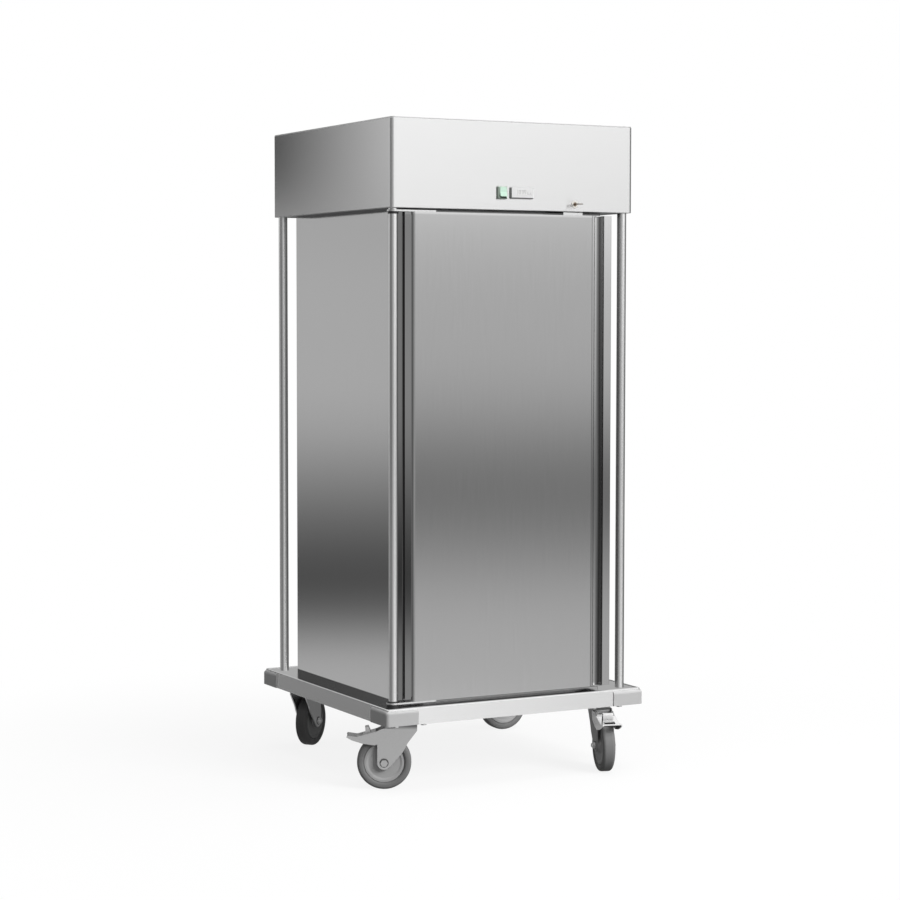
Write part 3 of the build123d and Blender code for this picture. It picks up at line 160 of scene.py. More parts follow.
def brushed_steel(name, tone, roughness, grain, anisotropy, turn, shades=(), top_roughness=None):
    """Stainless sheet with a belt grain. grain stretches the streaks along X, Y and Z. A sheet
    with a top_roughness is smoother or duller where it faces up."""
    finish, tree, shader, place = new_finish(name)
    stretch = add(tree, "ShaderNodeMapping", None, {"Vector": place, "Scale": grain})
    streaks = add(tree, "ShaderNodeTexNoise", None,
                  {"Vector": stretch.outputs[0], "Scale": 1 / (STREAK_WIDTH * MM), "Detail": 3.0})
    light = linear(tone)
    # Noise stays mostly between 0.3 and 0.7, so that range carries the tones.
    colour = add(tree, "ShaderNodeValToRGB", None, {"Fac": streaks.outputs["Fac"]},
                 [(0.35, grey(light, DARK_STREAK)), (0.65, light)]).outputs["Color"]
    tree.links.new(shaded(tree, place, colour, shades), shader.inputs["Base Color"])
    rough = add(tree, "ShaderNodeMapRange", None,
                {"Value": streaks.outputs["Fac"], "From Min": 0.3, "From Max": 0.7,
                 "To Min": roughness * (1 - ROUGHNESS_SPREAD),
                 "To Max": roughness * (1 + ROUGHNESS_SPREAD)})
    spread = rough.outputs["Result"]
    if top_roughness:
        # A face counts as the top once its normal leans up.
        normal = add(tree, "ShaderNodeNewGeometry").outputs["Normal"]
        up = add(tree, "ShaderNodeSeparateXYZ", None, {0: normal}).outputs["Z"]
        flat = add(tree, "ShaderNodeMapRange", None,
                   {"Value": up, "From Min": 0.3, "From Max": 0.5})
        spread = add(tree, "ShaderNodeMix", None,
                     {0: flat.outputs[0], 2: spread, 3: top_roughness}).outputs[0]
    tree.links.new(spread, shader.inputs["Roughness"])
    shader.inputs["Metallic"].default_value = 1.0
    shader.inputs["Anisotropic"].default_value = anisotropy
    shader.inputs["Anisotropic Rotation"].default_value = turn
    return finish


# How streaks are stretched, and which way the shader smears a reflection.
ALONG = 0.01
UPRIGHT, LEVEL = (1, 1, ALONG), (ALONG, ALONG, 1)
SIDEWAYS, UPWARD = 0.0, 0.25

# %% [markdown]
# The door and the cabinet have an upright grain, so what they mirror spreads sideways and keeps
# its bands from top to bottom. The header has a level grain and spreads upward, where the
# lamps are. The cover on top is plain rolled sheet, duller than the rest, because nobody sees it
# from the floor. Painted shade darkens the front strip of the cabinet and the return of the door,
# which look into the gap at the post, and a painted highlight brightens the top edge of the door.

# %% Panels, header and deck
cabinet_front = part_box("cabinet_shell")[0].y / MM
door_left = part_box("door_skin")[0].x / MM
door_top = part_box("door_skin")[1].z / MM
# Painted shade on the cabinet's front strip and the door's return; painted highlight on the door
# top.
cabinet_front_painted_shade = ("Y", cabinet_front, [(0, 0.36), (32, 0.40), (37, 1.0)])
door_return_painted_shade = ("X", door_left, [(0, 0.52), (0.6, 0.6), (3, 1.0)])
door_top_painted_highlight = ("Z", door_top, [(-8, 1.0), (-4, 1.3), (0, 1.3)])
wear(["cabinet_shell"],
     brushed_steel("stainless_upright_grain_cabinet", "#C8C8C8", 0.14, UPRIGHT, 0.95, SIDEWAYS,
                   [cabinet_front_painted_shade]))
wear(["door_skin"],
     brushed_steel("stainless_upright_grain_door", "#C8C8C8", 0.14, UPRIGHT, 0.95, SIDEWAYS,
                   [door_return_painted_shade, door_top_painted_highlight]))
wear(["header_shell"],
     brushed_steel("stainless_level_grain", "#CBCBCB", 0.22, LEVEL, 0.95, UPWARD))
wear(["header_cover"],
     brushed_steel("stainless_mill_finish", "#BEBEBE", 0.34, LEVEL, 0.5, UPWARD))
# The deck is smoother where it faces up, so it mirrors what stands on it.
wear(["base_pan"],
     brushed_steel("stainless_deck", "#D3D3D3", 0.24, LEVEL, 0.95, UPWARD, top_roughness=0.09))
wear(["hinge_plates", "strike_plate"],
     brushed_steel("stainless_plate", "#CECECE", 0.25, LEVEL, 0.4, UPWARD))

# %% [markdown]
# The posts are drawn tube, polished round and round on a lathe belt. Faint draw lines run along
# the tube, and the polish spreads a reflection up and down, so a post shows clean upright bands.
# The grip is an extruded profile with grain along its length. Painted shade darkens its channel,
# and a painted highlight brightens it towards the top. The inner sheets are plainer: a fine matt
# finish that hides scratches from trays.

# %% Tubes, grip and inner sheets
wear(["hinge_post", "corner_posts"],
     brushed_steel("polished_tube_steel", "#DADADA", 0.16, UPRIGHT, 0.9, UPWARD))
grip_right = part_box("door_grip")[1].x / MM
grip_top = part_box("door_grip")[1].z / MM
# Painted shade across the grip's channel, and a painted highlight growing towards its top.
channel = ("X", grip_right, [(-64.5, 0.8), (-60, 0.7), (-56, 0.62), (-52, 1.05), (-42, 0.9),
                             (-36, 0.48), (-31, 0.34), (-26.5, 0.33), (-25.5, 0.95)])
grip_top_painted_highlight = ("Z", grip_top, [(-800, 1.0), (-350, 1.25), (-100, 1.5), (0, 1.55)])
wear(["door_grip"],
     brushed_steel("grip_profile_steel", "#C4C4C4", 0.12, UPRIGHT, 0.95, SIDEWAYS,
                   [channel, grip_top_painted_highlight]))
wear(["cabinet_liner", "door_liner", "evaporator_housing", "tray_rack"],
     brushed_steel("inner_sheet_steel", "#C6C7C7", 0.32, UPRIGHT, 0.5, SIDEWAYS))
# A dull sheet for the floor of the header, its tone painted dark as the shade in the gap under it.
wear(["header_floor"],
     brushed_steel("dull_floor_sheet_painted_shade", "#6A6B6C", 0.45, LEVEL, 0.2, SIDEWAYS))

# %% [markdown]
# The rest is moulded, cast, plated or painted. One function serves them all: a tone with a fine
# mottle from noise, and the same noise as a slight relief, because a mould or a plating bath never
# leaves a perfectly even skin. The mottle is sized in millimetres. The texture of a mould is finer
# than a pixel, so the smallest mottle is drawn about a millimetre across to show at all.

# %% Mouldings and coatings
RELIEF_HEIGHT = 0.2


def moulded(name, tone, roughness, speck=0.06, grain_mm=1.2, metallic=0.0, relief=0.05, shades=()):
    """A moulded, cast, plated or painted surface: one tone with a mottle and a slight relief."""
    finish, tree, shader, place = new_finish(name)
    mottle = add(tree, "ShaderNodeTexNoise", None,
                 {"Vector": place, "Scale": 1 / (grain_mm * MM), "Detail": 4.0})
    light = linear(tone)
    colour = add(tree, "ShaderNodeValToRGB", None, {"Fac": mottle.outputs["Fac"]},
                 [(0.3, grey(light, 1 - speck)), (0.7, light)]).outputs["Color"]
    tree.links.new(shaded(tree, place, colour, shades), shader.inputs["Base Color"])
    skin = add(tree, "ShaderNodeBump", None, {"Height": mottle.outputs["Fac"], "Strength": relief,
                                              "Distance": RELIEF_HEIGHT * MM})
    tree.links.new(skin.outputs["Normal"], shader.inputs["Normal"])
    shader.inputs["Roughness"].default_value = roughness
    shader.inputs["Metallic"].default_value = metallic
    return finish


def named(*starts):
    """The names of the solids that start with one of these words."""
    return [name for name in nodes if name.startswith(starts)]


# %% [markdown]
# Forks, plates, axles and pedals are steel with zinc plating: pale, slightly cloudy, with soft
# highlights. The crowns sit close under the base, and painted shade darkens them towards the top.
# The front right fork is painted darker as shade, and its pedal brighter as a painted reflection.
# One function gives the plating, and each painted tone is another tone of it.

# %% Plated steel of the casters
def zinc_plated(name, tone, roughness, shades=()):
    """Zinc plating, with clouds about 3 mm across."""
    return moulded(name, tone, roughness, metallic=1.0, grain_mm=3, shades=shades)


zinc = zinc_plated("zinc_plated_pressing", "#BFBFBF", 0.38)
wear(named("axle_", "brake_pedal_") + ["caster_bolts", "post_studs"], zinc)
# Painted shade darkens the plating towards the top of the crowns, under the base.
crown_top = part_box("caster_plates")[1].z / MM
crown_painted_shade = ("Z", crown_top, [(-24, 1.0), (-14, 0.3), (0, 0.2)])
zinc_with_crown_painted_shade = zinc_plated("zinc_plated_pressing_with_painted_shade", "#BFBFBF", 0.38, [crown_painted_shade])
wear(named("fork_") + ["caster_plates"], zinc_with_crown_painted_shade)
# Painted shade on the front right fork, and a painted reflection on its pedal.
wear(["fork_front_right"],
     zinc_plated("zinc_plated_fork_painted_shade", "#8C8C8C", 0.42, [crown_painted_shade]))
wear(["brake_pedal_front_right"],
     zinc_plated("zinc_plated_pedal_painted_reflection", "#E2E2E2", 0.24))

# %% [markdown]
# Bumpers, wheel cores, tyres and bushes come out of moulds. Plastic and rubber differ in gloss more
# than in tone, so roughness, speck and relief tell them apart. The rear left wheel is painted
# darker than the others, as the shade under the base.

# %% Bumpers, wheels and bushes
# Polyethylene bumpers: waxy and even, a fine spark texture from the mould.
wear(["corner_bumpers"], moulded("moulded_polyethylene", "#C2C2C2", 0.42, relief=0.08))
# Nylon wheel cores: half dull and even.
wear(named("hub_"), moulded("moulded_nylon_core", "#B9B9B9", 0.5))
# Painted shade: the rear left core is darker, as the shade under the base.
wear(["hub_rear_left"], moulded("moulded_nylon_core_painted_shade", "#747474", 0.5))
# Rubber tyres: dull and a little dusty.
wear(named("tyre_"), moulded("moulded_tyre_rubber", "#858585", 0.7, speck=0.12, relief=0.2))
# Painted shade: the rear left tyre is darker too.
wear(["tyre_rear_left"],
     moulded("moulded_tyre_rubber_painted_shade", "#4E4E4E", 0.7, speck=0.12, relief=0.2))
# Black nylon: bushes, fan blades and the socket. Its skin is fine and half dull.
black_nylon = moulded("moulded_black_nylon", "#1B1B1C", 0.45, speck=0.15)
wear(["hinge_bushes", "evaporator_fan", "condenser_fan", "mains_inlet"], black_nylon)

# %% [markdown]
# The hidden parts get honest finishes too, because the door opens and the cover can come off: a
# dark seal, cream foam, grey paint on the frame, black enamel on the compressor, bare aluminium
# fins and copper pipe. A black vinyl edge closes the foam of the door between skin and seal.

# %% Seal and foam
# Extruded vinyl: nearly black and half dull.
seal_vinyl = moulded("extruded_seal_vinyl", "#242425", 0.55, speck=0.1)
wear(["door_gasket"], seal_vinyl)


def poured_foam(name, shades=()):
    """Polyurethane foam: cream, dull and full of small pores."""
    return moulded(name, "#E2D3A0", 0.9, speck=0.15, grain_mm=2.5, relief=0.4, shades=shades)


wear(["cabinet_insulation"], poured_foam("poured_polyurethane_foam"))
skin_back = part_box("door_skin")[1].y / MM
vinyl_edge = ("Y", skin_back, [(-4, 1.0), (-2, 0.03), (0, 0.03)])
wear(["door_insulation"], poured_foam("foam_with_black_vinyl_edge", [vinyl_edge]))

# %% Paint, enamel, fins and pipe
# Sprayed paint: an even dark grey with a slight orange peel.
wear(["base_frame", "condenser_fan_motor", "evaporator_fan_motor"],
     moulded("grey_frame_paint", "#5A5B5C", 0.5, grain_mm=2, relief=0.1))
# Stove enamel: black with clear highlights.
wear(["compressor"], moulded("black_stove_enamel", "#141414", 0.3, grain_mm=4))
# Rolled aluminium and drawn copper: bare metal with a soft shine, the copper a little stained.
wear(["evaporator_coil", "condenser"],
     moulded("rolled_fin_aluminium", "#C8C9CA", 0.35, metallic=1.0))
wear(["refrigerant_pipes"],
     moulded("drawn_copper_pipe", "#C07A55", 0.3, metallic=1.0, speck=0.12))
# Moulded ABS: light grey and half dull.
wear(["electrical_box"], moulded("moulded_grey_abs", "#A9ABAC", 0.5))

# %% [markdown]
# The controls are pale plastic on the header front. The switch has a green rocker that shows its
# lamp when it is on, in a hood of cloudy green vinyl that keeps splashes out. Painted shade darkens
# the lower lip of the controller and of the hood, and the left flanks of controller and rocker.
# Lock and key are nickel-plated brass, worn to a warmer tone.

# %% Controls and lock
controls_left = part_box("controller")[0].x / MM
controls_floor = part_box("controller")[0].z / MM
hood_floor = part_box("switch_bezel")[0].z / MM
rocker_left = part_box("rocker")[0].x / MM
# Painted shade under the lower lips and along the left flanks of controller and rocker.
controller_lip_painted_shade = ("Z", controls_floor, [(0, 0.3), (2.8, 0.3), (3.6, 1.0)])
case_flank_painted_shade = ("X", controls_left, [(0, 0.6), (0.3, 0.65), (0.7, 1.0)])
hood_lip_painted_shade = ("Z", hood_floor, [(0, 0.35), (3.0, 0.35), (4.2, 1.0)])
rocker_flank_painted_shade = ("X", rocker_left, [(0, 0.55), (1.5, 0.65), (3.5, 1.0)])
# Moulded ABS: pale and even, with a soft gloss.
wear(["key_down", "key_up"], moulded("moulded_pale_abs", "#CCCCCC", 0.38, speck=0.03))
wear(["controller"],
     moulded("moulded_pale_abs_painted_shade", "#CCCCCC", 0.38, speck=0.03,
             shades=[controller_lip_painted_shade, case_flank_painted_shade]))
# Vinyl and polycarbonate: a cloudy green skin round a brighter and glossier green.
wear(["switch_bezel"],
     moulded("cloudy_green_vinyl", "#A3B3A6", 0.35, speck=0.05, shades=[hood_lip_painted_shade]))
wear(["rocker"],
     moulded("mint_polycarbonate", "#B4D0BF", 0.25, speck=0.08, grain_mm=4, shades=[rocker_flank_painted_shade]))
# Nickel plate: bright on the barrel, with brass showing through on the cam and the key.
wear(["lock_barrel"], moulded("nickel_plated_barrel", "#D8D6D0", 0.3, metallic=1.0))
wear(["lock_cam", "lock_key"],
     moulded("worn_nickel_brass", "#7E7062", 0.35, metallic=1.0, speck=0.2))

# %% [markdown]
# Small pieces come next. Each starts as a primitive and is shaped in edit mode, as by hand. What
# repeats is modelled once at the origin, and this pattern is then copied. A few helpers keep the
# cells short: one clears the selection, one selects faces by their normal, one ends a single piece
# and gives it to the body it moves with, one ends a pattern, and one copies a pattern to its place
# with a mesh of its own.

# %% Helpers for pieces
SMOOTH_BELOW = math.radians(35)


def deselect():
    """Clears the selection, because an operator acts on all that is selected."""
    bpy.ops.object.select_all(action="DESELECT")


def pick(test):
    """Selects the faces of the piece in edit mode whose normal passes a test."""
    mesh = bmesh.from_edit_mesh(bpy.context.object.data)
    bpy.ops.mesh.select_all(action="DESELECT")
    for face in mesh.faces:
        if test(face.normal):
            face.select_set(True)
    bmesh.update_edit_mesh(bpy.context.object.data)


def end_piece(name, body, finish):
    """Applies the place of the piece, smooths its round faces and hands it to a body."""
    bpy.ops.object.mode_set(mode="OBJECT")
    piece = bpy.context.object
    piece.name = name
    bpy.ops.object.transform_apply(location=True, rotation=True, scale=True)
    bpy.ops.object.shade_smooth_by_angle(angle=SMOOTH_BELOW)
    piece.data.materials.append(finish)
    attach(piece, body)
    print("piece", name, "rides on", body, "with", len(piece.data.polygons), "faces")
    return piece


def end_pattern(finish):
    """Ends a piece at the origin that others are copied from."""
    bpy.ops.object.mode_set(mode="OBJECT")
    bpy.ops.object.shade_smooth_by_angle(angle=SMOOTH_BELOW)
    pattern = bpy.context.object
    pattern.data.materials.append(finish)
    return pattern


def copy_piece(pattern, name, body, place):
    """A copy of a pattern with its own mesh, moved to its place by a matrix."""
    piece = pattern.copy()
    piece.data = pattern.data.copy()
    bpy.context.scene.collection.objects.link(piece)
    piece.name = name
    piece.data.transform(place)
    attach(piece, body)
    return piece


# %% [markdown]
# The door seal is a hollow vinyl bellows with a magnet in it, pressed into a groove round the door
# liner. Seen with the door open it is a dark frame with two folds along its sides. It could be
# swept as a profile, but a plane is quicker: inset it to a frame, extrude the frame in seven
# layers, and pull two of the loops between them in to make the folds.

# %% Door seal
SEAL_WIDTH = 22
SEAL_LAYERS = (3.0, 1.75, 1.75, 3.0, 1.75, 1.75, 3.0)
FOLDS = (sum(SEAL_LAYERS[:2]), sum(SEAL_LAYERS[:5]))
FOLD_DEPTH = 3
LOOP_REACH = 0.3
low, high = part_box("door_gasket")
middle = (low + high) / 2
deselect()
bpy.ops.mesh.primitive_plane_add(size=1, location=(middle.x, high.y, middle.z),
                                 rotation=(math.radians(90), 0, 0))
bpy.context.object.scale = (high.x - low.x, high.z - low.z, 1)
bpy.ops.object.transform_apply(location=True, rotation=True, scale=True)
bpy.ops.object.mode_set(mode="EDIT")
bpy.ops.mesh.select_all(action="SELECT")
bpy.ops.mesh.inset(thickness=SEAL_WIDTH * MM)
bpy.ops.mesh.delete(type="FACE")
bpy.ops.mesh.select_all(action="SELECT")
for layer in SEAL_LAYERS:
    bpy.ops.mesh.extrude_region_move(TRANSFORM_OT_translate={"value": (0, -layer * MM, 0)})
for fold in FOLDS:
    mesh = bmesh.from_edit_mesh(bpy.context.object.data)
    for vertex in mesh.verts:
        vertex.select_set(abs(high.y - vertex.co.y - fold * MM) < LOOP_REACH * MM)
    mesh.select_flush(True)
    bmesh.update_edit_mesh(bpy.context.object.data)
    bpy.ops.transform.shrink_fatten(value=-FOLD_DEPTH * MM, use_even_offset=True)
bpy.ops.mesh.select_all(action="SELECT")
bpy.ops.mesh.normals_make_consistent(inside=False)
seal = end_piece("door_seal_bellows", "door", seal_vinyl)
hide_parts("door_gasket")

# %% [markdown]
# The controller has a clear pane over its display. It could be cut into the case, but a pane of its
# own catches the light along its rim. It is a cube stretched to a thin slab, its front edges
# bevelled and its face sunk a little inside a border.

# %% Display pane
PANE_SIZE = (33, 1.2, 17)
PANE_X = 20.0
PANE_LIFT = 3.0
PANE_RIM, PANE_BORDER, PANE_SINK = 0.4, 1.2, 0.25
low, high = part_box("controller")
PANE = Vector((PANE_X, low.y / MM, (low.z + high.z) / 2 / MM + PANE_LIFT)) * MM
# Moulded acrylic: pale and glossy, so it shows mostly the room.
pane_plastic = moulded("clear_display_pane", "#D3D3D2", 0.12, speck=0.04, grain_mm=6, relief=0.0)
deselect()
bpy.ops.mesh.primitive_cube_add(size=1, location=PANE)
bpy.context.object.scale = [side * MM for side in PANE_SIZE]
bpy.ops.object.transform_apply(location=True, rotation=True, scale=True)
bpy.ops.object.mode_set(mode="EDIT")
pick(lambda normal: normal.y < -0.9)
bpy.ops.mesh.bevel(offset=PANE_RIM * MM, segments=2)
pick(lambda normal: normal.y < -0.9)
bpy.ops.mesh.inset(thickness=PANE_BORDER * MM, depth=-PANE_SINK * MM)
end_piece("display_pane", "cart", pane_plastic)

# %% [markdown]
# The display has three grey digits of up to seven segments. Text could make them, but bars look
# like the real display. A segment is a cube drawn out to a bar with pointed ends, modelled once and
# copied to make generic figures. Real digits lie behind the pane. These stand a hair proud of it,
# because the pane here is solid.

# %% One segment
BAR_SIZE = (4.4, 0.3, 1.0)
BAR_TIP, TIP_SHARE = 0.45, 0.15
# Printed grey: soft and matt on the pane.
segment_grey = moulded("printed_segment_grey", "#8E8E90", 0.5, speck=0.05)
deselect()
bpy.ops.mesh.primitive_cube_add(size=1)
bpy.context.object.scale = [side * MM for side in BAR_SIZE]
bpy.ops.object.transform_apply(location=True, rotation=True, scale=True)
bpy.ops.object.mode_set(mode="EDIT")
pick(lambda normal: abs(normal.x) > 0.9)
bpy.ops.mesh.extrude_region_shrink_fatten(TRANSFORM_OT_shrink_fatten={"value": BAR_TIP * MM})
bpy.ops.transform.resize(value=(1, 1, TIP_SHARE))
segment = end_pattern(segment_grey)
print("segment:", len(segment.data.polygons), "faces")

# %% Three digits
HALF_BAR = 2.6
DIGIT_PITCH = 9.0
SEGMENT_PROUD = 0.5
LYING, STANDING = Matrix.Identity(4), Matrix.Rotation(math.radians(90), 4, "Y")
SEGMENT_PLACES = {"a": (0, 2 * HALF_BAR, LYING), "g": (0, 0, LYING),
                  "d": (0, -2 * HALF_BAR, LYING),
                  "f": (-HALF_BAR, HALF_BAR, STANDING), "b": (HALF_BAR, HALF_BAR, STANDING),
                  "e": (-HALF_BAR, -HALF_BAR, STANDING), "c": (HALF_BAR, -HALF_BAR, STANDING)}
DIGITS = ("abcdef", "abgcd", "afgcd")
for digit, letters in enumerate(DIGITS):
    shift = (digit - 1) * DIGIT_PITCH
    for letter in letters:
        x, z, lie = SEGMENT_PLACES[letter]
        spot = PANE + Vector((x + shift, -SEGMENT_PROUD, z)) * MM
        copy_piece(segment, f"segment_{digit}_{letter}", "cart",
                   Matrix.Translation(spot) @ lie)
bpy.data.objects.remove(segment)
print("digits:", len(DIGITS))

# %% [markdown]
# A small arrow marks each key, up or down. A flat triangle would do, but it would be lost against
# the key. A low cone with three sides and bevelled edges has a rim that shows. It is modelled once,
# and the arrow that points down is turned over.

# %% Arrows on the keys
ARROW_BASE, ARROW_TOP, ARROW_HEIGHT = 1.7, 1.5, 0.3
ARROW_EDGE = 0.15
deselect()
bpy.ops.mesh.primitive_cone_add(vertices=3, radius1=ARROW_BASE * MM, radius2=ARROW_TOP * MM,
                                depth=ARROW_HEIGHT * MM, rotation=(math.radians(90), 0, 0))
bpy.ops.object.transform_apply(location=True, rotation=True, scale=True)
bpy.ops.object.mode_set(mode="EDIT")
bpy.ops.mesh.select_all(action="SELECT")
bpy.ops.mesh.bevel(offset=ARROW_EDGE * MM, segments=2)
# Pad-printed ink: a faint, matt grey on the key.
arrow = end_pattern(moulded("pad_printed_arrow", "#BCBCBC", 0.5, speck=0.03))
for key, turn in (("key_up", 0), ("key_down", 180)):
    low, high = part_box(key)
    middle = (low + high) / 2
    copy_piece(arrow, f"{key}_arrow", key,
               Matrix.Translation((middle.x, low.y, middle.z))
               @ Matrix.Rotation(math.radians(turn), 4, "Y"))
bpy.data.objects.remove(arrow)
print("arrows on two keys")

# %% [markdown]
# The door turns on the front left post. A thin black washer lies on the lower hinge plate to keep
# steel off steel, and each caster's axle has a dark steel washer on both legs of its fork. All are
# rings: a filled circle, inset, its middle removed, extruded and bevelled.

# %% Pattern of a washer
RING_SIDES = 64
EASED_EDGE = 0.2


def washer(finish, outer, inner, height):
    """The pattern of a flat washer with eased edges, facing up."""
    deselect()
    bpy.ops.mesh.primitive_circle_add(vertices=RING_SIDES, radius=outer * MM, fill_type="NGON")
    bpy.ops.object.mode_set(mode="EDIT")
    bpy.ops.mesh.select_all(action="SELECT")
    bpy.ops.mesh.inset(thickness=(outer - inner) * MM)
    bpy.ops.mesh.delete(type="FACE")
    bpy.ops.mesh.select_all(action="SELECT")
    bpy.ops.mesh.extrude_region_shrink_fatten(TRANSFORM_OT_shrink_fatten={"value": height * MM})
    bpy.ops.mesh.select_all(action="SELECT")
    bpy.ops.mesh.normals_make_consistent(inside=False)
    bpy.ops.mesh.select_mode(type="EDGE")
    bpy.ops.mesh.select_all(action="DESELECT")
    bpy.ops.mesh.edges_select_sharp(sharpness=math.radians(60))
    bpy.ops.mesh.bevel(offset=EASED_EDGE * MM, segments=2)
    bpy.ops.mesh.select_mode(type="VERT")
    return end_pattern(finish)


def facing(place, direction):
    """The matrix that lays a pattern at a place and turns its top to a direction."""
    turn = Vector(direction).to_track_quat("Z", "Y").to_matrix().to_4x4()
    return Matrix.Translation(place) @ turn


# %% Washers at the hinge and the axles
HINGE_PLATE = 5
hinge = next(joint for joint in frame["joints"] if joint["name"] == "door_hinge")
plate_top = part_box("hinge_plates")[0].z + HINGE_PLATE * MM
hinge_washer = washer(black_nylon, outer=18.5, inner=14.4, height=2.5)
copy_piece(hinge_washer, "hinge_washer", "door",
           facing((hinge["pos_m"][0], hinge["pos_m"][1], plate_top), (0, 0, 1)))
bpy.data.objects.remove(hinge_washer)

# From the middle of a wheel to the outer face of a leg.
LEG_FACE = 27.05
wheels = [joint for joint in frame["joints"] if joint["name"].startswith("wheel_spin_")]
# Phosphated steel: a dark grey coat that holds oil, so the ring stands out on the bright fork.
phosphated = moulded("phosphated_washer_steel", "#6C6C6C", 0.45, metallic=1.0)
axle_washer = washer(phosphated, outer=13.5, inner=6.2, height=1.2)
for joint in wheels:
    corner = joint["name"].removeprefix("wheel_spin_")
    axis = Vector(joint["axis"])
    for side, word in ((1, "out"), (-1, "in")):
        leg_face = Vector(joint["pos_m"]) + axis * side * LEG_FACE * MM
        copy_piece(axle_washer, f"axle_washer_{corner}_{word}", joint["parent"],
                   facing(leg_face, axis * side))
bpy.data.objects.remove(axle_washer)
print("washers: one at the hinge, two on each of", len(wheels), "axles")

# %% [markdown]
# Each fork is pressed from one sheet, and its crown turns down between the legs into a short front
# web. It is a slab at the edge of the crown: a cube stretched to size, its lower edge pulled in to
# follow the press radius, and its edges bevelled. It is placed from the axle, and turned the way
# the wheel trails behind its kingpin.

# %% Front webs of the forks
WEB_SIZE = (2.5, 45.5, 13)
PRESS_IN, PRESS_DOWN, WEB_EDGE = 0.5, 1.0, 0.4
# From the axle to the web, along the trail and up.
WEB_ALONG, WEB_ABOVE = -10, 100
deselect()
bpy.ops.mesh.primitive_cube_add(size=1)
bpy.context.object.scale = [side * MM for side in WEB_SIZE]
bpy.ops.object.transform_apply(location=True, rotation=True, scale=True)
bpy.ops.object.mode_set(mode="EDIT")
pick(lambda normal: normal.z < -0.9)
bpy.ops.mesh.inset(thickness=PRESS_IN * MM)
bpy.ops.mesh.extrude_region_move(TRANSFORM_OT_translate={"value": (0, 0, -PRESS_DOWN * MM)})
bpy.ops.mesh.select_all(action="SELECT")
bpy.ops.mesh.bevel(offset=WEB_EDGE * MM, segments=2)
web = end_pattern(zinc_with_crown_painted_shade)
for joint in wheels:
    corner = joint["name"].removeprefix("wheel_spin_")
    kingpin = next(other for other in frame["joints"] if other["name"] == f"swivel_{corner}")
    trail = Vector(joint["pos_m"]) - Vector(kingpin["pos_m"])
    turn = Matrix.Rotation(math.atan2(trail.y, trail.x), 4, "Z")
    crown_edge = Vector(joint["pos_m"]) + turn @ Vector((WEB_ALONG * MM, 0, WEB_ABOVE * MM))
    copy_piece(web, f"fork_web_{corner}", joint["parent"],
               Matrix.Translation(crown_edge) @ turn)
bpy.data.objects.remove(web)
print("fork webs:", len(wheels))

# %% [markdown]
# Pan-head screws hold the cover, the strike plate, the socket and the housing of the cold-air fan.
# One is modelled at the origin: a short cylinder whose top is inset and raised three times to a
# dome, with a sunk round drive. Copies go to every place, each turned to face out of its sheet.

# %% Pattern of a screw
SCREW_RADIUS, SCREW_DEPTH, SCREW_LIFT = 4.2, 1.4, 0.5
DOME = ((0.3, 0.5), (0.5, 0.35), (0.6, 0.15))
DRIVE_RIM, DRIVE_DEPTH = 0.9, 1.1
deselect()
bpy.ops.mesh.primitive_cylinder_add(vertices=32, radius=SCREW_RADIUS * MM, depth=SCREW_DEPTH * MM,
                                    location=(0, 0, SCREW_LIFT * MM))
bpy.ops.object.transform_apply(location=True, rotation=True, scale=True)
bpy.ops.object.mode_set(mode="EDIT")
pick(lambda normal: normal.z > 0.9)
for inward, upward in DOME:
    bpy.ops.mesh.inset(thickness=inward * MM, depth=upward * MM)
bpy.ops.mesh.inset(thickness=DRIVE_RIM * MM)
bpy.ops.mesh.extrude_region_shrink_fatten(TRANSFORM_OT_shrink_fatten={"value": -DRIVE_DEPTH * MM})
screw = end_pattern(zinc)
print("screw:", len(screw.data.polygons), "faces")

# %% Screws in their sheets
UP, BACK, FRONT = (0, 0, 1), (0, 1, 0), (0, -1, 0)
COVER_SCREWS_X, COVER_SCREWS_Y = (-390, 0, 390), (-400, 400)
HOUSING_INSET, SOCKET_INSET, STRIKE_INSET = 12, 5.5, 12
STRIKE_FROM_BACK, STRIKE_SHEET = 9, 1.5
cover_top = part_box("header_cover")[1].z / MM
housing_low, housing_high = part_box("evaporator_housing")
socket_low, socket_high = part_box("mains_inlet")
socket_z = (socket_low.z + socket_high.z) / 2 / MM
strike_low, strike_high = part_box("strike_plate")
strike_y = strike_high.y / MM - STRIKE_FROM_BACK
strike_z = strike_low.z / MM + STRIKE_SHEET
screw_places = [("cover", "cart", UP, (x, y, cover_top))
                for x in COVER_SCREWS_X for y in COVER_SCREWS_Y]
screw_places += [("housing", "cart", FRONT, (x, housing_low.y / MM, z))
                 for x in (housing_low.x / MM + HOUSING_INSET, housing_high.x / MM - HOUSING_INSET)
                 for z in (housing_low.z / MM + HOUSING_INSET, housing_high.z / MM - HOUSING_INSET)]
screw_places += [("socket", "cart", BACK, (x, socket_high.y / MM, socket_z))
                 for x in (socket_low.x / MM + SOCKET_INSET, socket_high.x / MM - SOCKET_INSET)]
screw_places += [("strike", "door", UP, (x, strike_y, strike_z))
                 for x in (strike_low.x / MM + STRIKE_INSET, strike_high.x / MM - STRIKE_INSET)]
for number, (sheet, body, direction, spot) in enumerate(screw_places):
    copy_piece(screw, f"screw_{sheet}_{number}", body,
               facing(Vector(spot) * MM, direction))
bpy.data.objects.remove(screw)
print("screws:", len(screw_places))

# %% [markdown]
# The studio is a white room with soft panels. Steel shows little of its own colour: it shows the
# room. Cards and lamps could be moved about until each reflection falls into place. Here the room
# is drawn in the world's shader instead, as bands of brightness by heading and by elevation, which
# says in degrees where each band lies. Heading 0 is straight out from the door, and 90 is to the
# right of the cart.

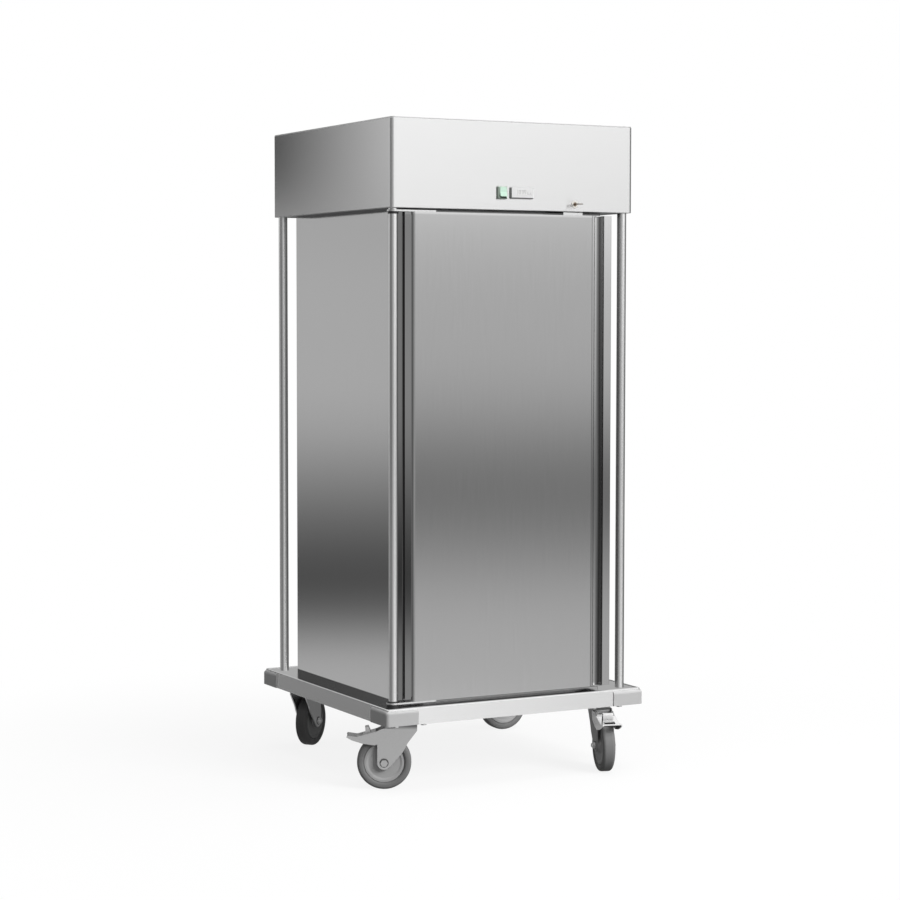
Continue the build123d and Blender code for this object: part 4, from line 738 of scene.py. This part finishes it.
# %% Directions in the studio
world = bpy.data.worlds.new("studio")
bpy.context.scene.world = world
world.use_nodes = True
studio = world.node_tree
studio.nodes.clear()
direction = add(studio, "ShaderNodeTexCoord").outputs["Generated"]
axes = add(studio, "ShaderNodeSeparateXYZ", None, {0: direction}).outputs
ahead = add(studio, "ShaderNodeMath", {"operation": "MULTIPLY"},
            {0: axes["Y"], 1: -1.0}).outputs[0]
heading = add(studio, "ShaderNodeMath", {"operation": "ARCTAN2"},
              {0: axes["X"], 1: ahead}).outputs[0]
height = add(studio, "ShaderNodeMath", {"operation": "ARCSINE"}, {0: axes["Z"]}).outputs[0]


def level(angle, stops):
    """A brightness read from an angle, by stops of degrees and level."""
    first, last = stops[0][0], stops[-1][0]
    reach = add(studio, "ShaderNodeMapRange", None,
                {"Value": angle, "From Min": math.radians(first), "From Max": math.radians(last)})
    return add(studio, "ShaderNodeValToRGB", None, {"Fac": reach.outputs[0]},
               [((spot - first) / (last - first), grey(value)) for spot, value in stops]).outputs[0]


# %% [markdown]
# A pale wall runs round at eye level and darkens to the sides. Low down it has a dark band, which
# the steel shows as its dark middle. The door mirrors the wall in front of it and the side panel
# mirrors the wall behind, so each has stops of its own and a share of the headings.

# %% Wall with its dark band
wall = level(heading, [(-180, .6), (-130, .6), (-112, .4), (-97, .2), (-75, .14), (-58, .22),
                       (-45, .33), (-25, .44), (0, .6), (10, .63), (45, .63), (60, .45), (80, .2),
                       (100, .12), (118, .2), (130, .32), (150, .36), (180, .6)])
front_band = level(height, [(-9.4, 1.06), (-8.2, 1.06), (-7.2, .98), (-6.7, .84), (-5.9, .63),
                            (-5.2, .46), (-4.5, .375), (-3.9, .43), (-3.2, .61), (-2.2, .90),
                            (-1.2, 1.05), (0.3, 1.05), (2.4, 1.08)])
side_band = level(height, [(-10.5, 1.1), (-9.2, 1.1), (-8.6, 1.03), (-8.0, .64), (-7.4, .28),
                           (-6.7, .155), (-6.0, .22), (-5.2, .36), (-4.5, .53), (-3.8, .72),
                           (-3.0, .95), (-2.0, 1.09)])
front_share = level(heading, [(-20, 0), (5, 1), (55, 1), (75, 0)])
side_share = level(heading, [(-180, 1), (-130, 1), (-110, 0), (165, 0), (180, 1)])
front_mix = add(studio, "ShaderNodeMix", None, {0: front_share, 2: 1.0, 3: front_band}).outputs[0]
band = add(studio, "ShaderNodeMix", None, {0: side_share, 2: front_mix, 3: side_band}).outputs[0]
room = add(studio, "ShaderNodeMath", {"operation": "MULTIPLY"}, {0: wall, 1: band}).outputs[0]
print("wall:", len(studio.nodes), "nodes")

# %% [markdown]
# Above the wall hang soft panels, brightest in front on the right, where the header looks. Below it
# lies the far floor, also brightest in front. Straight up is an even ceiling, and straight down a
# pale floor. Each is mixed in over the wall by elevation.

# %% Panels, ceiling and ground
CEILING_LEVEL, NEAR_FLOOR_LEVEL = 1.2, 0.55
panel = level(heading, [(-180, .15), (-150, .08), (-128, .5), (-94, .25), (-65, .3), (-40, .5),
                        (-12, .9), (10, 2.1), (28, 2.35), (45, 2.0), (56, 1.0), (75, .4),
                        (96, .2), (125, .12), (140, .15), (146, .5), (158, .5), (165, .12),
                        (180, .15)])
ground = level(heading, [(-180, .15), (-130, .15), (-90, .3), (-40, .8), (0, 1.7), (27, 1.9),
                         (33, 1.25), (60, .4), (90, .22), (115, .34), (155, .34), (172, .08),
                         (180, .15)])
above = level(height, [(0.6, 0), (2.5, .07), (6, 1)])
below = level(height, [(-11.2, 1), (-10.3, 0)])
overhead = level(height, [(18, 0), (27, 1)])
underfoot = level(height, [(-45, 1), (-26, 0)])
for share, brightness in ((above, panel), (below, ground), (overhead, CEILING_LEVEL),
                          (underfoot, NEAR_FLOOR_LEVEL)):
    room = add(studio, "ShaderNodeMix", None, {0: share, 2: room, 3: brightness}).outputs[0]
print("room:", len(studio.nodes), "nodes")

# %% [markdown]
# Only mirrored rays see these bands. The camera sees plain white, and plain surfaces get an even
# soft light that is stronger from the front and from above.

# %% Light for each kind of ray
soft = level(heading, [(-180, .13), (-120, .26), (-90, .34), (-40, .44), (10, .5), (60, .42),
                       (90, .26), (150, .13), (180, .13)])
under = level(height, [(-25, .1), (0, .4), (25, 1)])
soft = add(studio, "ShaderNodeMath", {"operation": "MULTIPLY"}, {0: soft, 1: under}).outputs[0]
path = add(studio, "ShaderNodeLightPath").outputs
seen = add(studio, "ShaderNodeMath", {"operation": "MAXIMUM"},
           {0: path["Is Camera Ray"], 1: path["Is Transmission Ray"]}).outputs[0]
lit = add(studio, "ShaderNodeMix", None, {0: path["Is Glossy Ray"], 2: soft, 3: room}).outputs[0]
final = add(studio, "ShaderNodeMix", None, {0: seen, 2: lit, 3: 1.0}).outputs[0]
glow = add(studio, "ShaderNodeBackground", None, {"Color": final})
add(studio, "ShaderNodeOutputWorld", None, {"Surface": glow.outputs[0]})
print("studio world:", len(studio.nodes), "nodes")

# %% [markdown]
# The floor is pale and keeps a faint shadow under the cart. Further out it fades to the white of
# the room, so that no horizon shows. Steel doesn't mirror it and it throws no light back: the
# room's own bands and soft light stand for it there.

# %% Floor
FLOOR_SIZE = 80.0
FADE_START, FADE_END = 0.5, 2.2
LEAST_WHITE = 0.86
deselect()
bpy.ops.mesh.primitive_plane_add(size=FLOOR_SIZE, location=(0, 0, 0))
floor = bpy.context.object
floor.name = "floor"
floor.visible_glossy = False
floor.visible_diffuse = False
finish, tree, shader, place = new_finish("pale_floor")
far = add(tree, "ShaderNodeVectorMath", {"operation": "LENGTH"}, {0: place})
fade = add(tree, "ShaderNodeMapRange", {"interpolation_type": "SMOOTHSTEP"},
           {"Value": far.outputs["Value"], "From Min": FADE_START, "From Max": FADE_END,
            "To Min": LEAST_WHITE, "To Max": 1.0})
shader.inputs["Base Color"].default_value = linear("#F2F2F2")
shader.inputs["Roughness"].default_value = 0.9
white = add(tree, "ShaderNodeEmission", None, {"Color": grey(1.0), "Strength": 1.0})
mixed = add(tree, "ShaderNodeMixShader", None,
            {0: fade.outputs[0], 1: shader.outputs[0], 2: white.outputs[0]})
tree.links.new(mixed.outputs[0], tree.nodes["Material Output"].inputs["Surface"])
floor.data.materials.append(finish)
print("floor:", FLOOR_SIZE, "m square")

# %% [markdown]
# The left side of the header mirrors a panel that stands behind the cart, dark at its inner edge
# and bright further out. A world has no distance, so the cabinet would show such a panel too. It is
# therefore a real plane, high enough for the header alone, and only mirrored rays see it.

# %% Graded panel behind
PANEL_PLACE = (-2.2, 2.0, 3.4)
PANEL_WIDTH, PANEL_HEIGHT = 2.6, 3.2
INNER_X, INNER_LEVEL = -1.1, 0.1
OUTER_X, OUTER_LEVEL = -1.7, 0.95
deselect()
bpy.ops.mesh.primitive_plane_add(size=1, location=PANEL_PLACE, rotation=(math.radians(90), 0, 0))
card = bpy.context.object
card.name = "graded_panel"
card.scale = (PANEL_WIDTH, PANEL_HEIGHT, 1)
bpy.ops.object.transform_apply(location=True, rotation=True, scale=True)
finish, tree, shader, place = new_finish("graded_panel_light")
across = add(tree, "ShaderNodeSeparateXYZ", None, {0: place}).outputs["X"]
grade = add(tree, "ShaderNodeMapRange", None,
            {"Value": across, "From Min": INNER_X, "From Max": OUTER_X,
             "To Min": INNER_LEVEL, "To Max": OUTER_LEVEL})
shine = add(tree, "ShaderNodeEmission", None, {"Color": grey(1.0), "Strength": grade.outputs[0]})
tree.links.new(shine.outputs[0], tree.nodes["Material Output"].inputs["Surface"])
card.data.materials.append(finish)
card.visible_camera = False
card.visible_diffuse = False
card.visible_transmission = False
card.visible_shadow = False
print("graded panel:", PANEL_WIDTH, "by", PANEL_HEIGHT, "m")

# %% [markdown]
# The cabinet side keeps its brightness down to the deck, because in the studio it mirrors the room
# and hardly the narrow strip of deck or the thin posts beside it. Base and posts are therefore left
# out of mirrored rays.

# %% Base and posts out of reflections
NOT_MIRRORED = ("base_pan", "base_frame", "corner_bumpers", "caster_plates", "caster_bolts",
                "post_studs", "corner_posts", "hinge_post")
for name in NOT_MIRRORED:
    nodes[name].visible_glossy = False
print("not mirrored:", len(NOT_MIRRORED), "solids")


# %% [markdown]
# Two large soft lamps light the plain surfaces: a key in front on the right and a weaker one above.
# They cast the shadows. Steel doesn't mirror them, because the room already holds their panels.

# %% Lamps
def softbox(name, place, target, size, watts):
    """A square lamp at a place, turned to a target."""
    lamp = bpy.data.lights.new(name, "AREA")
    lamp.shape = "SQUARE"
    lamp.size = size
    lamp.energy = watts
    holder = bpy.data.objects.new(name, lamp)
    bpy.context.scene.collection.objects.link(holder)
    holder.location = place
    holder.rotation_euler = (Vector(target) - Vector(place)).to_track_quat("-Z", "Y").to_euler()
    holder.visible_glossy = False
    print("lamp", name, "with", watts, "W")


softbox("key", place=(2.0, -5.0, 3.2), target=(0, 0, 1.0), size=2.5, watts=300)
softbox("top", place=(0.3, -0.5, 5.0), target=(0, 0, 0), size=3.0, watts=120)

# %% [markdown]
# The camera stands about seven metres off at chest height and looks a little down. Its place and
# lens were fitted to the edges of the object in the photograph.

# %% Camera
CAMERA_PLACE = (-3.3669, -6.3447, 1.4014)
LENS, SENSOR = 92.03, 36.0
TILT_DOWN, TURN_RIGHT, ROLL = 3.4383, 27.9966, 0.0529
camera = bpy.data.cameras.new("camera")
camera.lens = LENS
camera.sensor_width = SENSOR
view = bpy.data.objects.new("camera", camera)
bpy.context.scene.collection.objects.link(view)
view.location = CAMERA_PLACE
aim = Euler((math.radians(90 - TILT_DOWN), 0, math.radians(-TURN_RIGHT))).to_matrix()
roll = Euler((0, 0, math.radians(ROLL))).to_matrix()
view.rotation_euler = (aim @ roll).to_euler()
bpy.context.scene.camera = view
bpy.context.scene.view_settings.view_transform = "Standard"
print("camera at", CAMERA_PLACE, "with a lens of", LENS, "mm")
